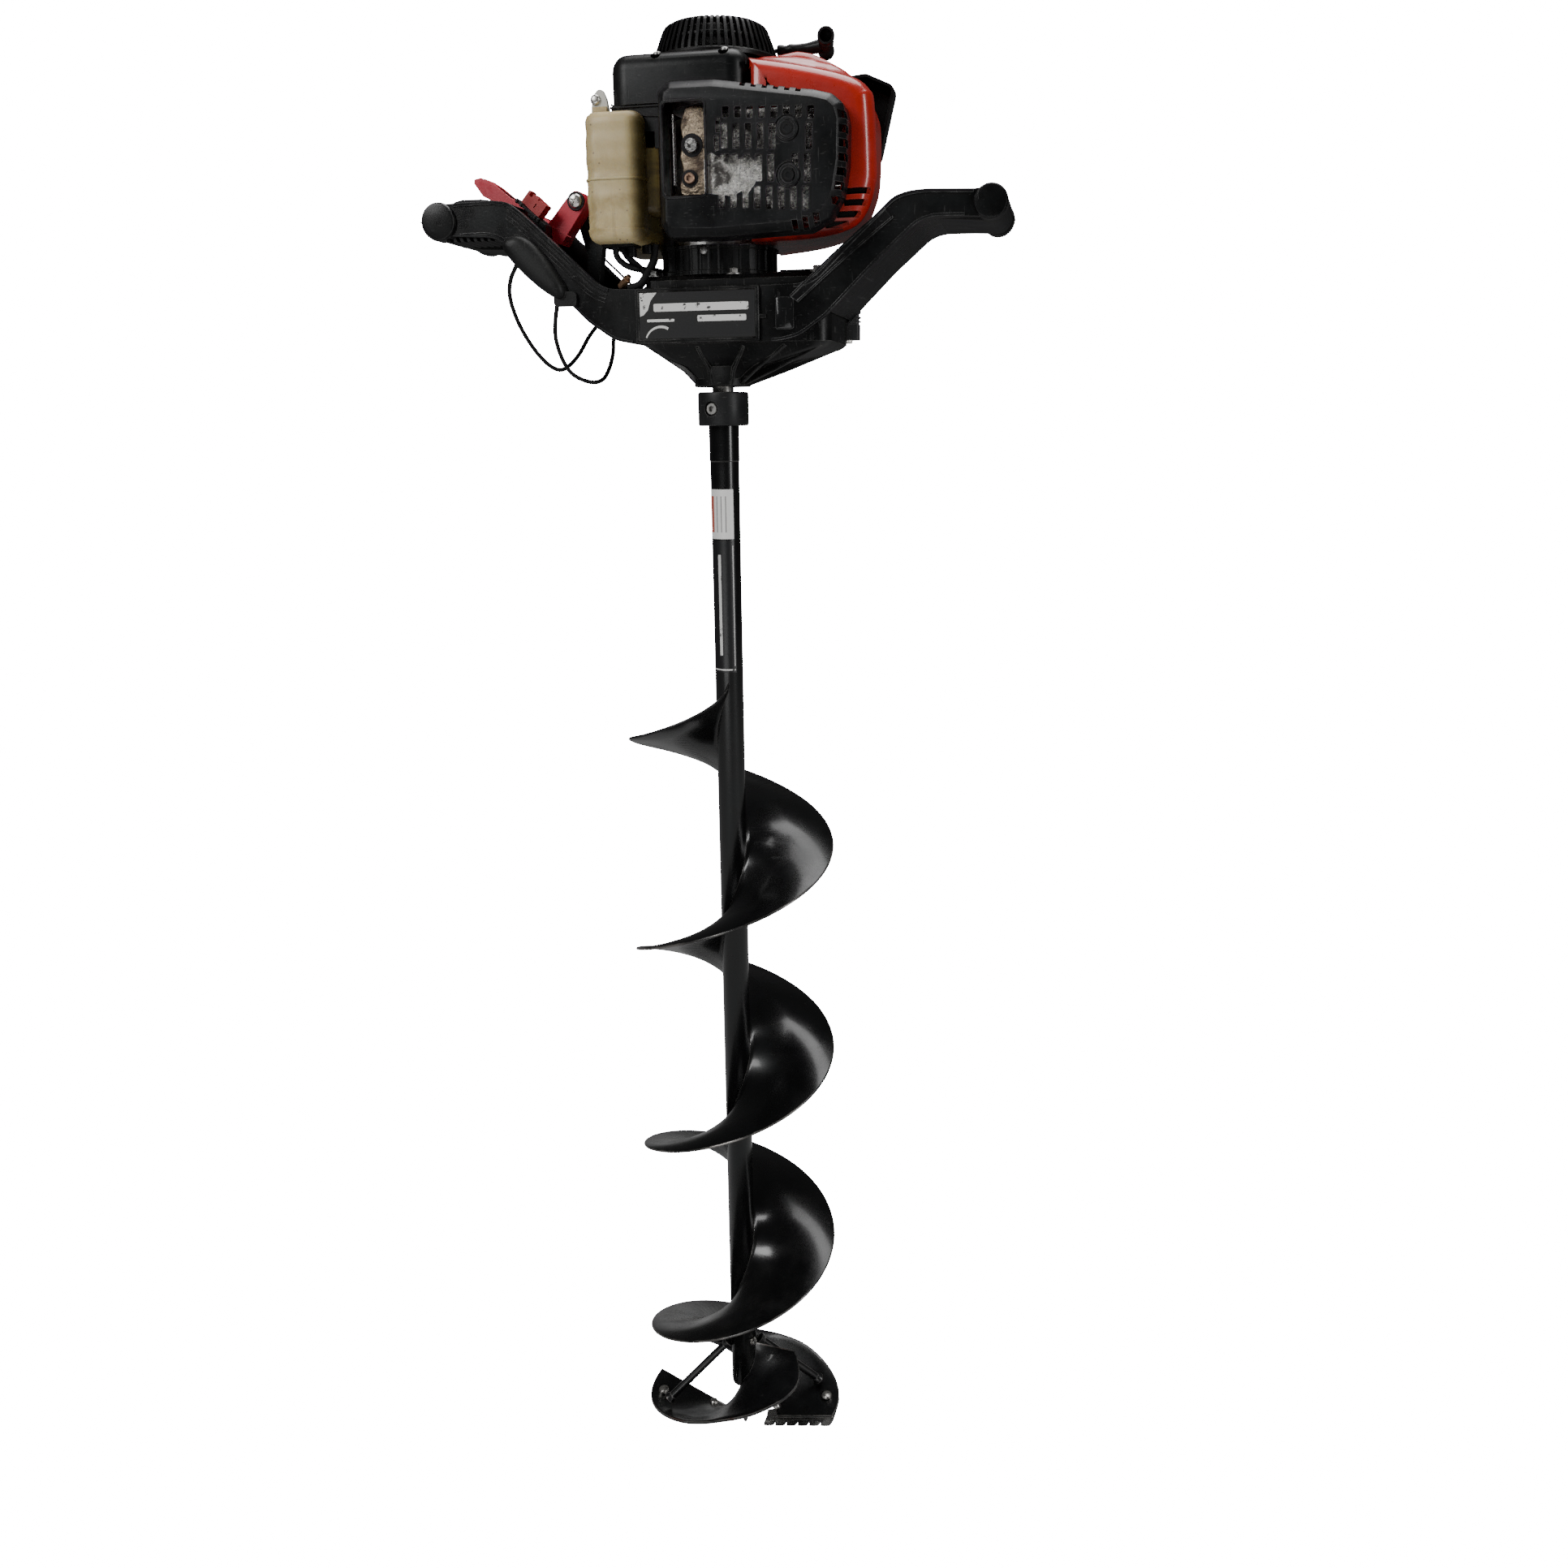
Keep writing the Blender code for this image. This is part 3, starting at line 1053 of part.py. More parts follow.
def throttle_arm():
    """Throttle disc, spindle and cable arm of the carburetor."""
    x, y = THROTTLE_AXIS
    disc = block("throttle_arm", (x - 5.6 * MM, y - 0.6 * MM, CYL_Z - 5.0 * MM),
                 (x + 5.6 * MM, y + 0.6 * MM, CYL_Z + 5.0 * MM), steel(), origin=(x, y, CYL_Z))
    stem = rod("stem", (x, y, CYL_Z), (x, y, 1.2740), 2.0 * MM, steel(), 12)
    lever = block("lever", (x - 16 * MM, y - 3 * MM, 1.2710), (x + 3 * MM, y + 3 * MM, 1.2735), steel())
    shift = Matrix.Translation((x, y, CYL_Z))
    stem.matrix_world = Matrix.Identity(4)
    lever.matrix_world = Matrix.Identity(4)
    disc.matrix_world = shift
    return weld(disc, stem, lever)


def choke_lever():
    """Choke disc with its spindle out of the carburetor's underside and a finger lever."""
    x, y = CHOKE_AXIS
    disc = block("choke_lever", (x - 0.6 * MM, y - 7.3 * MM + 3.0 * MM, CYL_Z - 5.0 * MM),
                 (x + 0.6 * MM, y + 4.3 * MM, CYL_Z + 5.0 * MM), black_plastic(), origin=(x, y, CYL_Z))
    stem = rod("stem", (x, y, CYL_Z), (x, y, 1.2312), 2.0 * MM, steel(), 12)
    lever = block("lever", (x - 4 * MM, y - 4 * MM, 1.2305), (x + 26 * MM, y + 4 * MM, 1.2342), black_plastic())
    return weld(disc, stem, lever)


def air_filter_cover():
    """Air filter box behind the carburetor, its outer end leaning out to the right."""
    outline = [(38.0 * MM, 1.3360), (114.0 * MM, 1.3430), (140.0 * MM, 1.3315), (127.0 * MM, 1.2750),
               (112.0 * MM, 1.2500), (40.0 * MM, 1.2450), (34.0 * MM, 1.2520), (34.0 * MM, 1.3320)]

    def loop(y, depth):
        return [Vector((x, y * MM, z)) for x, z in inset(outline, depth * MM)]

    loops = [loop(111.6, 7.0), loop(107.5, 2.4), loop(89.0, 2.4), loop(89.0, 0.0), loop(108.0, 0.0),
             loop(114.0, 6.0)]
    return lofted("air_filter_cover", loops, black_plastic())


def ignition_coil():
    return block("ignition_coil", (-69.0 * MM, -12.0 * MM, 1.2990), (-44.5 * MM, 12.0 * MM, 1.3180),
                 rubber(), 2 * MM)


def engine_parts():
    crankcase("lower_crankcase", CRANKCASE_Z[0], CYL_Z - 0.2 * MM)
    crankcase("upper_crankcase", CYL_Z + 0.2 * MM, CRANKCASE_Z[1])
    cylinder()
    crank_parts()
    piston()
    connecting_rod()
    spark_plug()
    plug_boot()
    muffler()
    muffler_cover()
    red_cover()
    fan_shroud()
    starter_parts()
    fuel_tank()
    fuel_cap()
    intake_parts()
    ignition_coil()


# ---------------------------------------------------------------- cables and hose

def flexible_parts():
    """Throttle cable and stop wire in their loops below the left arm, and the fuel hose."""
    cable = [(-176, -20, 1191), (-181, -19, 1181), (-188, -16, 1170), (-191, -12, 1156), (-188, -4, 1136),
             (-181, 8, 1116), (-172, 20, 1101), (-163, 28, 1095), (-156, 36, 1099), (-149, 46, 1110),
             (-142, 56, 1126), (-131, 64, 1141), (-114, 69, 1153), (-94, 71, 1165), (-70, 74, 1179),
             (-40, 80, 1192), (-8, 84, 1205), (20, 84, 1222), (38, 80, 1250), (47, 76, 1266), (51, 74, 1272)]
    wire = [(-138, -30, 1158), (-141, -28, 1147), (-145, -24, 1133), (-148, -16, 1118), (-146, -6, 1101),
            (-140, 4, 1089), (-127, 14, 1083), (-119, 23, 1086), (-116, 33, 1096), (-115, 42, 1109),
            (-117, 52, 1123), (-116, 60, 1138), (-106, 62, 1152), (-90, 62, 1170), (-77, 62, 1190),
            (-70, 61, 1215), (-66, 60, 1250), (-64, 59, 1280), (-62, 50, 1300), (-61, 34, 1310), (-60, 13, 1310)]
    hose = [(-75, -60, 1187), (-74, -59, 1181), (-68, -58, 1175), (-60, -54, 1172), (-56, -42, 1172),
            (-56, -20, 1174), (-56, 5, 1175), (-55, 30, 1176), (-48, 52, 1180), (-30, 66, 1188),
            (0, 74, 1198), (28, 76, 1212), (44, 76, 1226), (52, 76, 1231), (60, 75, 1232)]
    for name, route, radius in (("throttle_cable", cable, CORD_R), ("stop_wire", wire, CORD_R),
                                ("fuel_hose", hose, 2.6 * MM)):
        cord(name, [(x * MM, y * MM, z * MM) for x, y, z in route], radius, rubber())


def main():
    for obj in list(bpy.data.objects):
        bpy.data.objects.remove(obj)
    drill_parts()
    coupling_parts()
    gearbox_parts()
    handle_parts()
    throttle_lever()
    lever_post()
    switch_parts()
    engine_parts()
    flexible_parts()


main()
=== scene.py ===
"""Looks for the ice fishing auger: camera, light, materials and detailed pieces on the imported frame."""
import math

import bmesh
import bpy
from mathutils import Matrix, Vector, noise


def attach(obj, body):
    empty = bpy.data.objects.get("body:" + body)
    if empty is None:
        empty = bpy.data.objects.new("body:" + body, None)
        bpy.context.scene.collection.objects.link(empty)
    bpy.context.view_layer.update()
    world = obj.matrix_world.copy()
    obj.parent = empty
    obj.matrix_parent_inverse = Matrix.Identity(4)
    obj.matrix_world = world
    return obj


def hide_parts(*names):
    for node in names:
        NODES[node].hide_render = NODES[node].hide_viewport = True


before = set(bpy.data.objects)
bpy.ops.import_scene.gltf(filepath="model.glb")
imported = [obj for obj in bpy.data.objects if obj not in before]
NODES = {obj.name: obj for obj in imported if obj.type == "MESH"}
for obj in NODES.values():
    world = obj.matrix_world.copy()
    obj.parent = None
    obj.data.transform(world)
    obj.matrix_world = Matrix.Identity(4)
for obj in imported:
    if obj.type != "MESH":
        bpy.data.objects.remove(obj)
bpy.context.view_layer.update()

MM = 0.001
TAU = 2.0 * math.pi
FLIGHT_ZERO_AZ = math.radians(14.0)
WING_LEAD = -25.0
BLADE_ROOT, BLADE_TIP, BLADE_TEETH = 24.0, 101.6, 6
CYL_Z = 1252.0
LEVER_PIVOT = (-125.5, 1233.5)
SLATS, ROPE_WALL = 52, (13.0, 53.0)
RED_SLOTS = ((131.3, 1222.7), (129.5, 1214.1), (123.5, 1205.5), (114.0, 1198.4))
GUARD_SCREWS = ((81, 1264.6), (82, 1231.0))
AMBIENT, BACKDROP = 0.05, 20.0


# ---------------------------------------------------------------- camera, floor, light

def camera():
    """Set up the camera fitted to the photo."""
    data = bpy.data.cameras.new("camera")
    data.lens = 31.68
    data.sensor_width = 36.0
    obj = bpy.data.objects.new("camera", data)
    right = Vector((0.9794, 0.2009, -0.0218))
    up = Vector((-0.0298, 0.2502, 0.9677))
    back = right.cross(up)
    place = Matrix((right, up, back)).transposed().to_4x4()
    place.translation = (0.3084, -1.2370, 1.0417)
    pivot = Matrix.Translation((0.0, 0.0, 1.0575))
    roll = pivot @ Matrix.Rotation(math.radians(0.6), 4, back) @ pivot.inverted()
    obj.matrix_world = roll @ place
    bpy.context.collection.objects.link(obj)
    bpy.context.scene.camera = obj


def area_light(name, place, target, size, power):
    """Add one area light."""
    data = bpy.data.lights.new(name, "AREA")
    data.shape = "RECTANGLE"
    data.size, data.size_y = size
    data.energy = power
    obj = bpy.data.objects.new(name, data)
    obj.location = place
    obj.rotation_euler = (Vector(target) - Vector(place)).to_track_quat("-Z", "Y").to_euler()
    bpy.context.collection.objects.link(obj)


def studio():
    """Lights and the white background."""
    area_light("key", (-1.6, -2.2, 2.6), (0, 0, 0.9), (1.0, 1.4), 62)
    area_light("side", (2.4, -1.2, 1.6), (0, 0, 0.8), (0.5, 2.2), 40)
    area_light("top", (0.2, 0.3, 3.2), (0, 0, 1.0), (1.6, 1.6), 52)
    area_light("low", (-0.4, -2.6, 0.3), (0, 0, 0.6), (1.6, 0.5), 10)
    world = bpy.data.worlds.new("studio")
    bpy.context.scene.world = world
    world.use_nodes = True
    nodes, links = world.node_tree.nodes, world.node_tree.links
    background = nodes["Background"]
    background.inputs["Color"].default_value = (1.0, 1.0, 1.0, 1.0)
    background.inputs["Strength"].default_value = AMBIENT
    seen = nodes.new("ShaderNodeBackground")
    seen.inputs["Color"].default_value = (1.0, 1.0, 1.0, 1.0)
    seen.inputs["Strength"].default_value = BACKDROP
    rays = nodes.new("ShaderNodeLightPath")
    choose = nodes.new("ShaderNodeMixShader")
    links.new(rays.outputs["Is Camera Ray"], choose.inputs["Fac"])
    links.new(background.outputs["Background"], choose.inputs[1])
    links.new(seen.outputs["Background"], choose.inputs[2])
    links.new(choose.outputs["Shader"], nodes["World Output"].inputs["Surface"])
    corners = [(x, y, -0.004) for x, y in ((-9, -6), (9, -6), (9, 5), (-9, 5))]
    mesh = bpy.data.meshes.new("floor")
    mesh.from_pydata(corners, [], [(0, 1, 2, 3)])
    floor = bpy.data.objects.new("floor", mesh)
    bpy.context.collection.objects.link(floor)
    n = Nodes("floor_white")
    n.set(Base_Color=(0.5, 0.5, 0.5), Roughness=0.9, Specular_IOR_Level=0.1, Emission_Color=(1.0, 1.0, 1.0),
          Emission_Strength=n.maths("MULTIPLY", n.new("ShaderNodeLightPath").outputs["Is Camera Ray"],
                                    BACKDROP))
    mesh.materials.append(n.mat)


# ---------------------------------------------------------------- materials

class Nodes:
    """Short names for the shader nodes that every material here is made of."""

    def __init__(self, name):
        self.mat = bpy.data.materials.new(name)
        self.mat.use_nodes = True
        self.tree = self.mat.node_tree
        self.shader = self.tree.nodes["Principled BSDF"]
        self.place = self.new("ShaderNodeTexCoord").outputs["Object"]

    def new(self, kind, **values):
        node = self.tree.nodes.new(kind)
        for key, value in values.items():
            setattr(node, key, value)
        return node

    def link(self, source, target):
        self.tree.links.new(source, target)

    def feed(self, socket, value):
        if isinstance(value, bpy.types.NodeSocket):
            self.link(value, socket)
        elif isinstance(value, tuple) and len(value) == 3 and socket.type == "RGBA":
            socket.default_value = (*value, 1.0)
        else:
            socket.default_value = value

    def noise(self, scale, detail=4.0, rough=0.55, stretch=(1, 1, 1), warp=0.0):
        mapping = self.new("ShaderNodeMapping")
        mapping.inputs["Scale"].default_value = stretch
        self.link(self.place, mapping.inputs["Vector"])
        tex = self.new("ShaderNodeTexNoise")
        self.link(mapping.outputs["Vector"], tex.inputs["Vector"])
        tex.inputs["Scale"].default_value = scale
        tex.inputs["Detail"].default_value = detail
        tex.inputs["Roughness"].default_value = rough
        tex.inputs["Distortion"].default_value = warp
        return tex.outputs["Fac"]

    def cells(self, scale, stretch=(1, 1, 1)):
        mapping = self.new("ShaderNodeMapping")
        mapping.inputs["Scale"].default_value = stretch
        self.link(self.place, mapping.inputs["Vector"])
        tex = self.new("ShaderNodeTexVoronoi")
        self.link(mapping.outputs["Vector"], tex.inputs["Vector"])
        tex.inputs["Scale"].default_value = scale
        return tex.outputs["Distance"]

    def steps(self, fac, low, high, out=(0.0, 1.0)):
        node = self.new("ShaderNodeMapRange", interpolation_type="SMOOTHSTEP")
        self.link(fac, node.inputs["Value"])
        node.inputs["From Min"].default_value = low
        node.inputs["From Max"].default_value = high
        node.inputs["To Min"].default_value = out[0]
        node.inputs["To Max"].default_value = out[1]
        return node.outputs["Result"]

    def maths(self, operation, a, b=0.0):
        node = self.new("ShaderNodeMath", operation=operation)
        self.feed(node.inputs[0], a)
        self.feed(node.inputs[1], b)
        return node.outputs[0]

    def mix(self, fac, a, b):
        node = self.new("ShaderNodeMix", data_type="RGBA")
        self.feed(node.inputs["Factor"], fac)
        self.feed(node.inputs["A"], a)
        self.feed(node.inputs["B"], b)
        return node.outputs["Result"]

    def edges(self, radius):
        """Bright on convex and concave edges, from the bevelled normal."""
        bevel = self.new("ShaderNodeBevel", samples=4)
        bevel.inputs["Radius"].default_value = radius
        geo = self.new("ShaderNodeNewGeometry")
        dot = self.new("ShaderNodeVectorMath", operation="DOT_PRODUCT")
        self.link(bevel.outputs["Normal"], dot.inputs[0])
        self.link(geo.outputs["Normal"], dot.inputs[1])
        return self.steps(dot.outputs["Value"], 0.995, 0.90)

    def axis(self, name):
        split = self.new("ShaderNodeSeparateXYZ")
        self.link(self.place, split.inputs["Vector"])
        return split.outputs[name]

    def radius(self):
        square = self.maths("ADD", self.maths("MULTIPLY", self.axis("X"), self.axis("X")),
                            self.maths("MULTIPLY", self.axis("Y"), self.axis("Y")))
        return self.maths("SQRT", square)

    def bump(self, height, strength, distance):
        node = self.new("ShaderNodeBump")
        self.feed(node.inputs["Height"], height)
        node.inputs["Strength"].default_value = strength
        node.inputs["Distance"].default_value = distance
        self.link(node.outputs["Normal"], self.shader.inputs["Normal"])

    def set(self, **values):
        for key, value in values.items():
            self.feed(self.shader.inputs[key.replace("_", " ")], value)
        return self.mat


def plain(name, colour, rough, metallic=0.0):
    """A material of one colour."""
    n = Nodes(name)
    tone = n.noise(30.0, 2.0)
    darker = tuple(c * 0.94 for c in colour)
    n.set(Base_Color=n.mix(tone, darker, colour), Roughness=rough, Metallic=metallic)
    return n.mat


def moulded(name, colour, rough, worn, grain=0.25, grain_scale=1400.0, wear=0.5, dust=0.0):
    """Moulded or painted part: fine grain, rubbed patches, fine scratches, paler edges."""
    n = Nodes(name)
    patch = n.noise(22.0, 5.0, 0.6)
    scratch = n.steps(n.noise(160.0, 2.0, 0.5, (1.0, 0.12, 6.0), 0.4), 0.66, 0.72)
    scratch_2 = n.steps(n.noise(140.0, 2.0, 0.5, (7.0, 0.4, 0.6), 0.3), 0.67, 0.73)
    lines = n.maths("MAXIMUM", scratch, scratch_2)
    edge = n.maths("MULTIPLY", n.edges(0.0009), n.steps(n.noise(60.0, 4.0), 0.35, 0.65))
    mark = n.maths("MULTIPLY", n.maths("MAXIMUM", n.maths("MULTIPLY", lines, 0.3), edge), wear)
    tone = n.mix(n.steps(patch, 0.3, 0.75), colour, tuple(c * 1.7 + 0.001 for c in colour))
    if dust:
        settled = n.maths("MULTIPLY", n.steps(n.noise(45.0, 6.0, 0.65), 0.54, 0.78), dust * 0.6)
        tone = n.mix(settled, tone, (0.06, 0.057, 0.05))
    n.set(Base_Color=n.mix(mark, tone, worn), Roughness=n.steps(patch, 0.25, 0.8,
                                                                (rough - 0.08, rough + 0.14)),
          Specular_IOR_Level=0.2)
    fine = n.noise(grain_scale, 3.0)
    n.bump(n.maths("ADD", fine, n.maths("MULTIPLY", lines, -0.6)), grain, 0.0001)
    return n.mat


def enamel():
    """Gloss black paint of the drill, rubbed to steel at the rim of the flight."""
    n = Nodes("drill_enamel")
    r = n.radius()
    ragged = n.maths("ADD", r, n.maths("MULTIPLY", n.maths("SUBTRACT", n.noise(90.0, 5.0), 0.5), 0.0035))
    rim = n.maths("MULTIPLY", n.steps(ragged, 0.0958, 0.0972), n.steps(n.noise(18.0, 3.0), 0.35, 0.6))
    scuff = n.maths("MULTIPLY", n.steps(n.noise(55.0, 6.0, 0.7, (1, 1, 2.4)), 0.63, 0.74), 0.5)
    ring = n.steps(n.noise(260.0, 2.0, 0.5, (0.05, 0.05, 3.0)), 0.66, 0.7)
    chip = n.steps(n.cells(75.0), 0.05, 0.03)
    chips = n.maths("MULTIPLY", chip, n.steps(n.noise(9.0, 3.0), 0.55, 0.62))
    bare = n.maths("MAXIMUM", rim, n.maths("MAXIMUM", chips, n.maths("MULTIPLY", n.edges(0.0008), 0.5)))
    dusty = n.steps(n.axis("Z"), 0.30, 0.02, (0.0, 0.35))
    dust = n.maths("MULTIPLY", dusty, n.steps(n.noise(24.0, 6.0, 0.65), 0.45, 0.7))
    paint = n.mix(scuff, (0.003, 0.003, 0.0033), (0.016, 0.016, 0.017))
    paint = n.mix(dust, paint, (0.045, 0.043, 0.04))
    n.set(Base_Color=n.mix(bare, paint, (0.19, 0.18, 0.17)), Metallic=n.maths("MULTIPLY", bare, 0.7),
          Roughness=n.maths("ADD", n.steps(n.noise(20.0, 5.0), 0.2, 0.8, (0.16, 0.34)),
                            n.maths("MULTIPLY", n.maths("ADD", scuff, dust), 0.35)),
          Coat_Weight=0.2, Coat_Roughness=0.12, Specular_IOR_Level=0.35)
    n.bump(n.maths("ADD", n.noise(120.0, 3.0), n.maths("MULTIPLY", ring, -0.4)), 0.12, 0.0004)
    return n.mat


def cutter_paint():
    """Paint of the cutting head: scraped on the rims, rust and red primer showing."""
    n = Nodes("cutter_paint")
    edge = n.maths("MULTIPLY", n.edges(0.0016), n.steps(n.noise(50.0, 4.0), 0.3, 0.55))
    scrape = n.steps(n.noise(70.0, 6.0, 0.7, (1, 1, 3)), 0.62, 0.72)
    rust = n.steps(n.noise(28.0, 5.0, 0.6), 0.58, 0.68)
    paint = n.mix(n.maths("MULTIPLY", scrape, 0.6), (0.004, 0.004, 0.0045), (0.035, 0.035, 0.035))
    bare = n.mix(n.maths("MULTIPLY", rust, 0.8), (0.23, 0.22, 0.21), (0.17, 0.045, 0.025))
    n.set(Base_Color=n.mix(edge, paint, bare), Metallic=n.maths("MULTIPLY", edge, 0.5),
          Roughness=n.steps(n.noise(40.0, 5.0), 0.2, 0.8, (0.22, 0.5)), Coat_Weight=0.2)
    n.bump(n.noise(200.0, 4.0), 0.15, 0.0004)
    return n.mat


def metal(name, colour, rough, brushed=(1, 1, 1), tarnish=(0.2, 0.18, 0.15), amount=0.35, scale=50.0):
    """Bare metal."""
    n = Nodes(name)
    stain = n.maths("MULTIPLY", n.steps(n.noise(scale, 6.0, 0.65), 0.45, 0.75), amount)
    streak = n.noise(420.0, 3.0, 0.6, brushed)
    n.set(Base_Color=n.mix(stain, colour, tarnish),
          Metallic=n.maths("SUBTRACT", 1.0, n.maths("MULTIPLY", stain, 0.6)),
          Roughness=n.maths("ADD", n.steps(streak, 0.3, 0.7, (rough - 0.08, rough + 0.1)),
                            n.maths("MULTIPLY", stain, 0.4)))
    n.bump(streak, 0.2, 0.0002)
    return n.mat


def tank_material():
    """Milky polyethylene gone yellow, with darker fuel stains low down, and painted shade in dark amber on
    the inner side and lobe.
    """
    n = Nodes("tank_polyethylene")
    low = n.steps(n.axis("Z"), 1.262, 1.195)
    # painted shade: the side of the tank towards the engine, with its lobe, is coloured dark amber
    inner = n.steps(n.axis("X"), -0.056, -0.044)
    blotch = n.noise(26.0, 6.0, 0.6, (1, 1, 1.4), 0.5)
    stain = n.maths("MULTIPLY", n.steps(blotch, 0.42, 0.7),
                    n.maths("ADD", 0.3, n.maths("MULTIPLY", low, 0.6)))
    drip = n.maths("MULTIPLY", n.steps(n.noise(70.0, 3.0, 0.5, (2.0, 2.0, 0.25)), 0.6, 0.7), 0.25)
    body = n.mix(stain, (0.50, 0.405, 0.215), (0.24, 0.165, 0.055))
    body = n.mix(drip, body, (0.20, 0.14, 0.06))
    speck = n.steps(n.cells(110.0), 0.12, 0.05)
    body = n.mix(n.maths("MULTIPLY", speck, 0.6), body, (0.12, 0.08, 0.05))
    # dark amber of the painted shade on the inner side
    inner_shade_amber = n.mix(n.steps(blotch, 0.3, 0.7), (0.15, 0.11, 0.032), (0.07, 0.05, 0.018))
    n.set(Base_Color=n.mix(inner, body, inner_shade_amber), Roughness=n.steps(blotch, 0.2, 0.8, (0.33, 0.5)),
          Subsurface_Weight=0.25, Subsurface_Radius=(0.02, 0.012, 0.005), Subsurface_Scale=0.4,
          Specular_IOR_Level=0.4)
    n.bump(n.noise(160.0, 4.0), 0.2, 0.0004)
    return n.mat


def red_gloss():
    """Red moulded cover: glossy, a little chalky along its edges, sooty low down."""
    n = Nodes("cover_red")
    fade = n.steps(n.noise(14.0, 5.0, 0.6), 0.35, 0.7)
    edge = n.maths("MULTIPLY", n.edges(0.002), 0.22)
    scuff = n.maths("MULTIPLY", n.steps(n.noise(200.0, 3.0, 0.5, (0.3, 1.0, 5.0), 0.3), 0.66, 0.72), 0.2)
    soot = n.maths("MULTIPLY", n.steps(n.axis("Z"), 1.222, 1.192), n.steps(n.noise(40.0, 5.0), 0.3, 0.6))
    colour = n.mix(fade, (0.33, 0.010, 0.0055), (0.40, 0.017, 0.009))
    colour = n.mix(n.maths("MAXIMUM", edge, scuff), colour, (0.50, 0.10, 0.07))
    colour = n.mix(n.maths("MULTIPLY", soot, 0.8), colour, (0.05, 0.004, 0.004))
    n.set(Base_Color=colour, Roughness=n.steps(n.noise(60.0, 5.0), 0.25, 0.8, (0.24, 0.36)), Coat_Weight=0.35,
          Coat_Roughness=0.1)
    n.bump(n.noise(300.0, 3.0), 0.08, 0.0002)
    return n.mat


def control_red(name, colour):
    n = Nodes(name)
    worn = n.steps(n.noise(55.0, 6.0, 0.65), 0.45, 0.7)
    edge = n.maths("MULTIPLY", n.edges(0.0012), 0.6)
    pale = tuple(min(1.0, c * 1.15 + 0.06) for c in colour)
    tone = n.mix(n.maths("MULTIPLY", worn, 0.35), colour, tuple(c * 0.6 for c in colour))
    n.set(Base_Color=n.mix(edge, tone, pale), Roughness=n.steps(worn, 0.0, 1.0, (0.42, 0.6)))
    n.bump(n.noise(700.0, 3.0), 0.25, 0.0002)
    return n.mat


def muffler_metal(name, colour, burnt, crumple):
    """Crumpled, tarnished metal of the muffler, with painted shade as thin dark lines along its creases."""
    n = Nodes(name)
    burn = n.steps(n.noise(38.0, 6.0, 0.65, (1, 1, 1), 0.8), 0.5, 0.64)
    crease = n.noise(210.0, 6.0, 0.7, (1.0, 1.0, 1.8), 1.6)
    # painted crease shade: thin dark lines where the crease noise crosses its middle; the cell spots are dark
    # specks
    line = n.steps(n.maths("ABSOLUTE", n.maths("SUBTRACT", crease, 0.5)), 0.03, 0.008)
    specks_and_crease_shade = n.maths("MAXIMUM", n.steps(n.cells(260.0), 0.12, 0.04), line)
    tone = n.mix(n.maths("MULTIPLY", burn, 0.95), colour, burnt)
    n.set(Base_Color=n.mix(n.maths("MULTIPLY", specks_and_crease_shade, 0.85), tone, (0.012, 0.01, 0.008)),
          Metallic=n.maths("SUBTRACT", 1.0, n.maths("MULTIPLY", burn, 0.5)),
          Roughness=n.steps(burn, 0.0, 1.0, (0.28, 0.6)))
    n.bump(n.maths("ADD", n.cells(130.0, (1.0, 1.0, 2.2)), n.maths("ADD", crease, n.noise(330.0, 5.0))),
           crumple, 0.0014)
    return n.mat


def printed(name, colour, ground, missing):
    """A printed patch, flaked here and there down to what is under it."""
    n = Nodes(name)
    flake = n.steps(n.noise(150.0, 6.0, 0.7), missing, missing + 0.04)
    n.set(Base_Color=n.mix(flake, colour, ground), Roughness=n.steps(flake, 0.0, 1.0, (0.35, 0.5)))
    n.bump(n.maths("SUBTRACT", 1.0, flake), 0.3, 0.0001)
    return n.mat


# ---------------------------------------------------------------- mesh building

def arc(cx, cz, radius, start, end, steps):
    """Points of an arc in degrees, ends included."""
    points = []
    for i in range(steps + 1):
        angle = math.radians(start + (end - start) * i / steps)
        points.append((cx + radius * math.cos(angle), cz + radius * math.sin(angle)))
    return points


def rounded(outline, radius, steps=5):
    """Replace each corner of a closed outline with an arc that touches both sides."""
    out = []
    count = len(outline)
    for i in range(count):
        here = Vector(outline[i])
        before = Vector(outline[i - 1]) - here
        after = Vector(outline[(i + 1) % count]) - here
        turn = before.angle(after)
        if turn > math.radians(176):
            out.append(tuple(here))
            continue
        reach = min(radius / math.tan(turn / 2), before.length * 0.48, after.length * 0.48)
        start, end = here + before.normalized() * reach, here + after.normalized() * reach
        for k in range(steps + 1):
            t = k / steps
            out.append(tuple(start * (1 - t) ** 2 + here * 2 * t * (1 - t) + end * t * t))
    return out


def inset(outline, distance):
    """An outline moved inwards."""
    count = len(outline)
    area = sum(outline[i][0] * outline[(i + 1) % count][1] - outline[(i + 1) % count][0] * outline[i][1]
               for i in range(count))
    sign = 1.0 if area > 0 else -1.0
    moved = []
    for i in range(count):
        before, here, after = (Vector(outline[(i + k) % count]) for k in (-1, 0, 1))
        first, second = (here - before).normalized(), (after - here).normalized()
        normal_1 = Vector((-first.y, first.x)) * sign
        normal_2 = Vector((-second.y, second.x)) * sign
        bisector = (normal_1 + normal_2).normalized()
        moved.append(tuple(here + bisector * distance / max(0.3, bisector.dot(normal_1))))
    return moved


def round_box(x0, y0, x1, y1, radius, steps=6):
    """A rectangle with rounded corners."""
    return (arc(x1 - radius, y1 - radius, radius, 0, 90, steps)
            + arc(x0 + radius, y1 - radius, radius, 90, 180, steps)
            + arc(x0 + radius, y0 + radius, radius, 180, 270, steps)
            + arc(x1 - radius, y0 + radius, radius, 270, 360, steps))


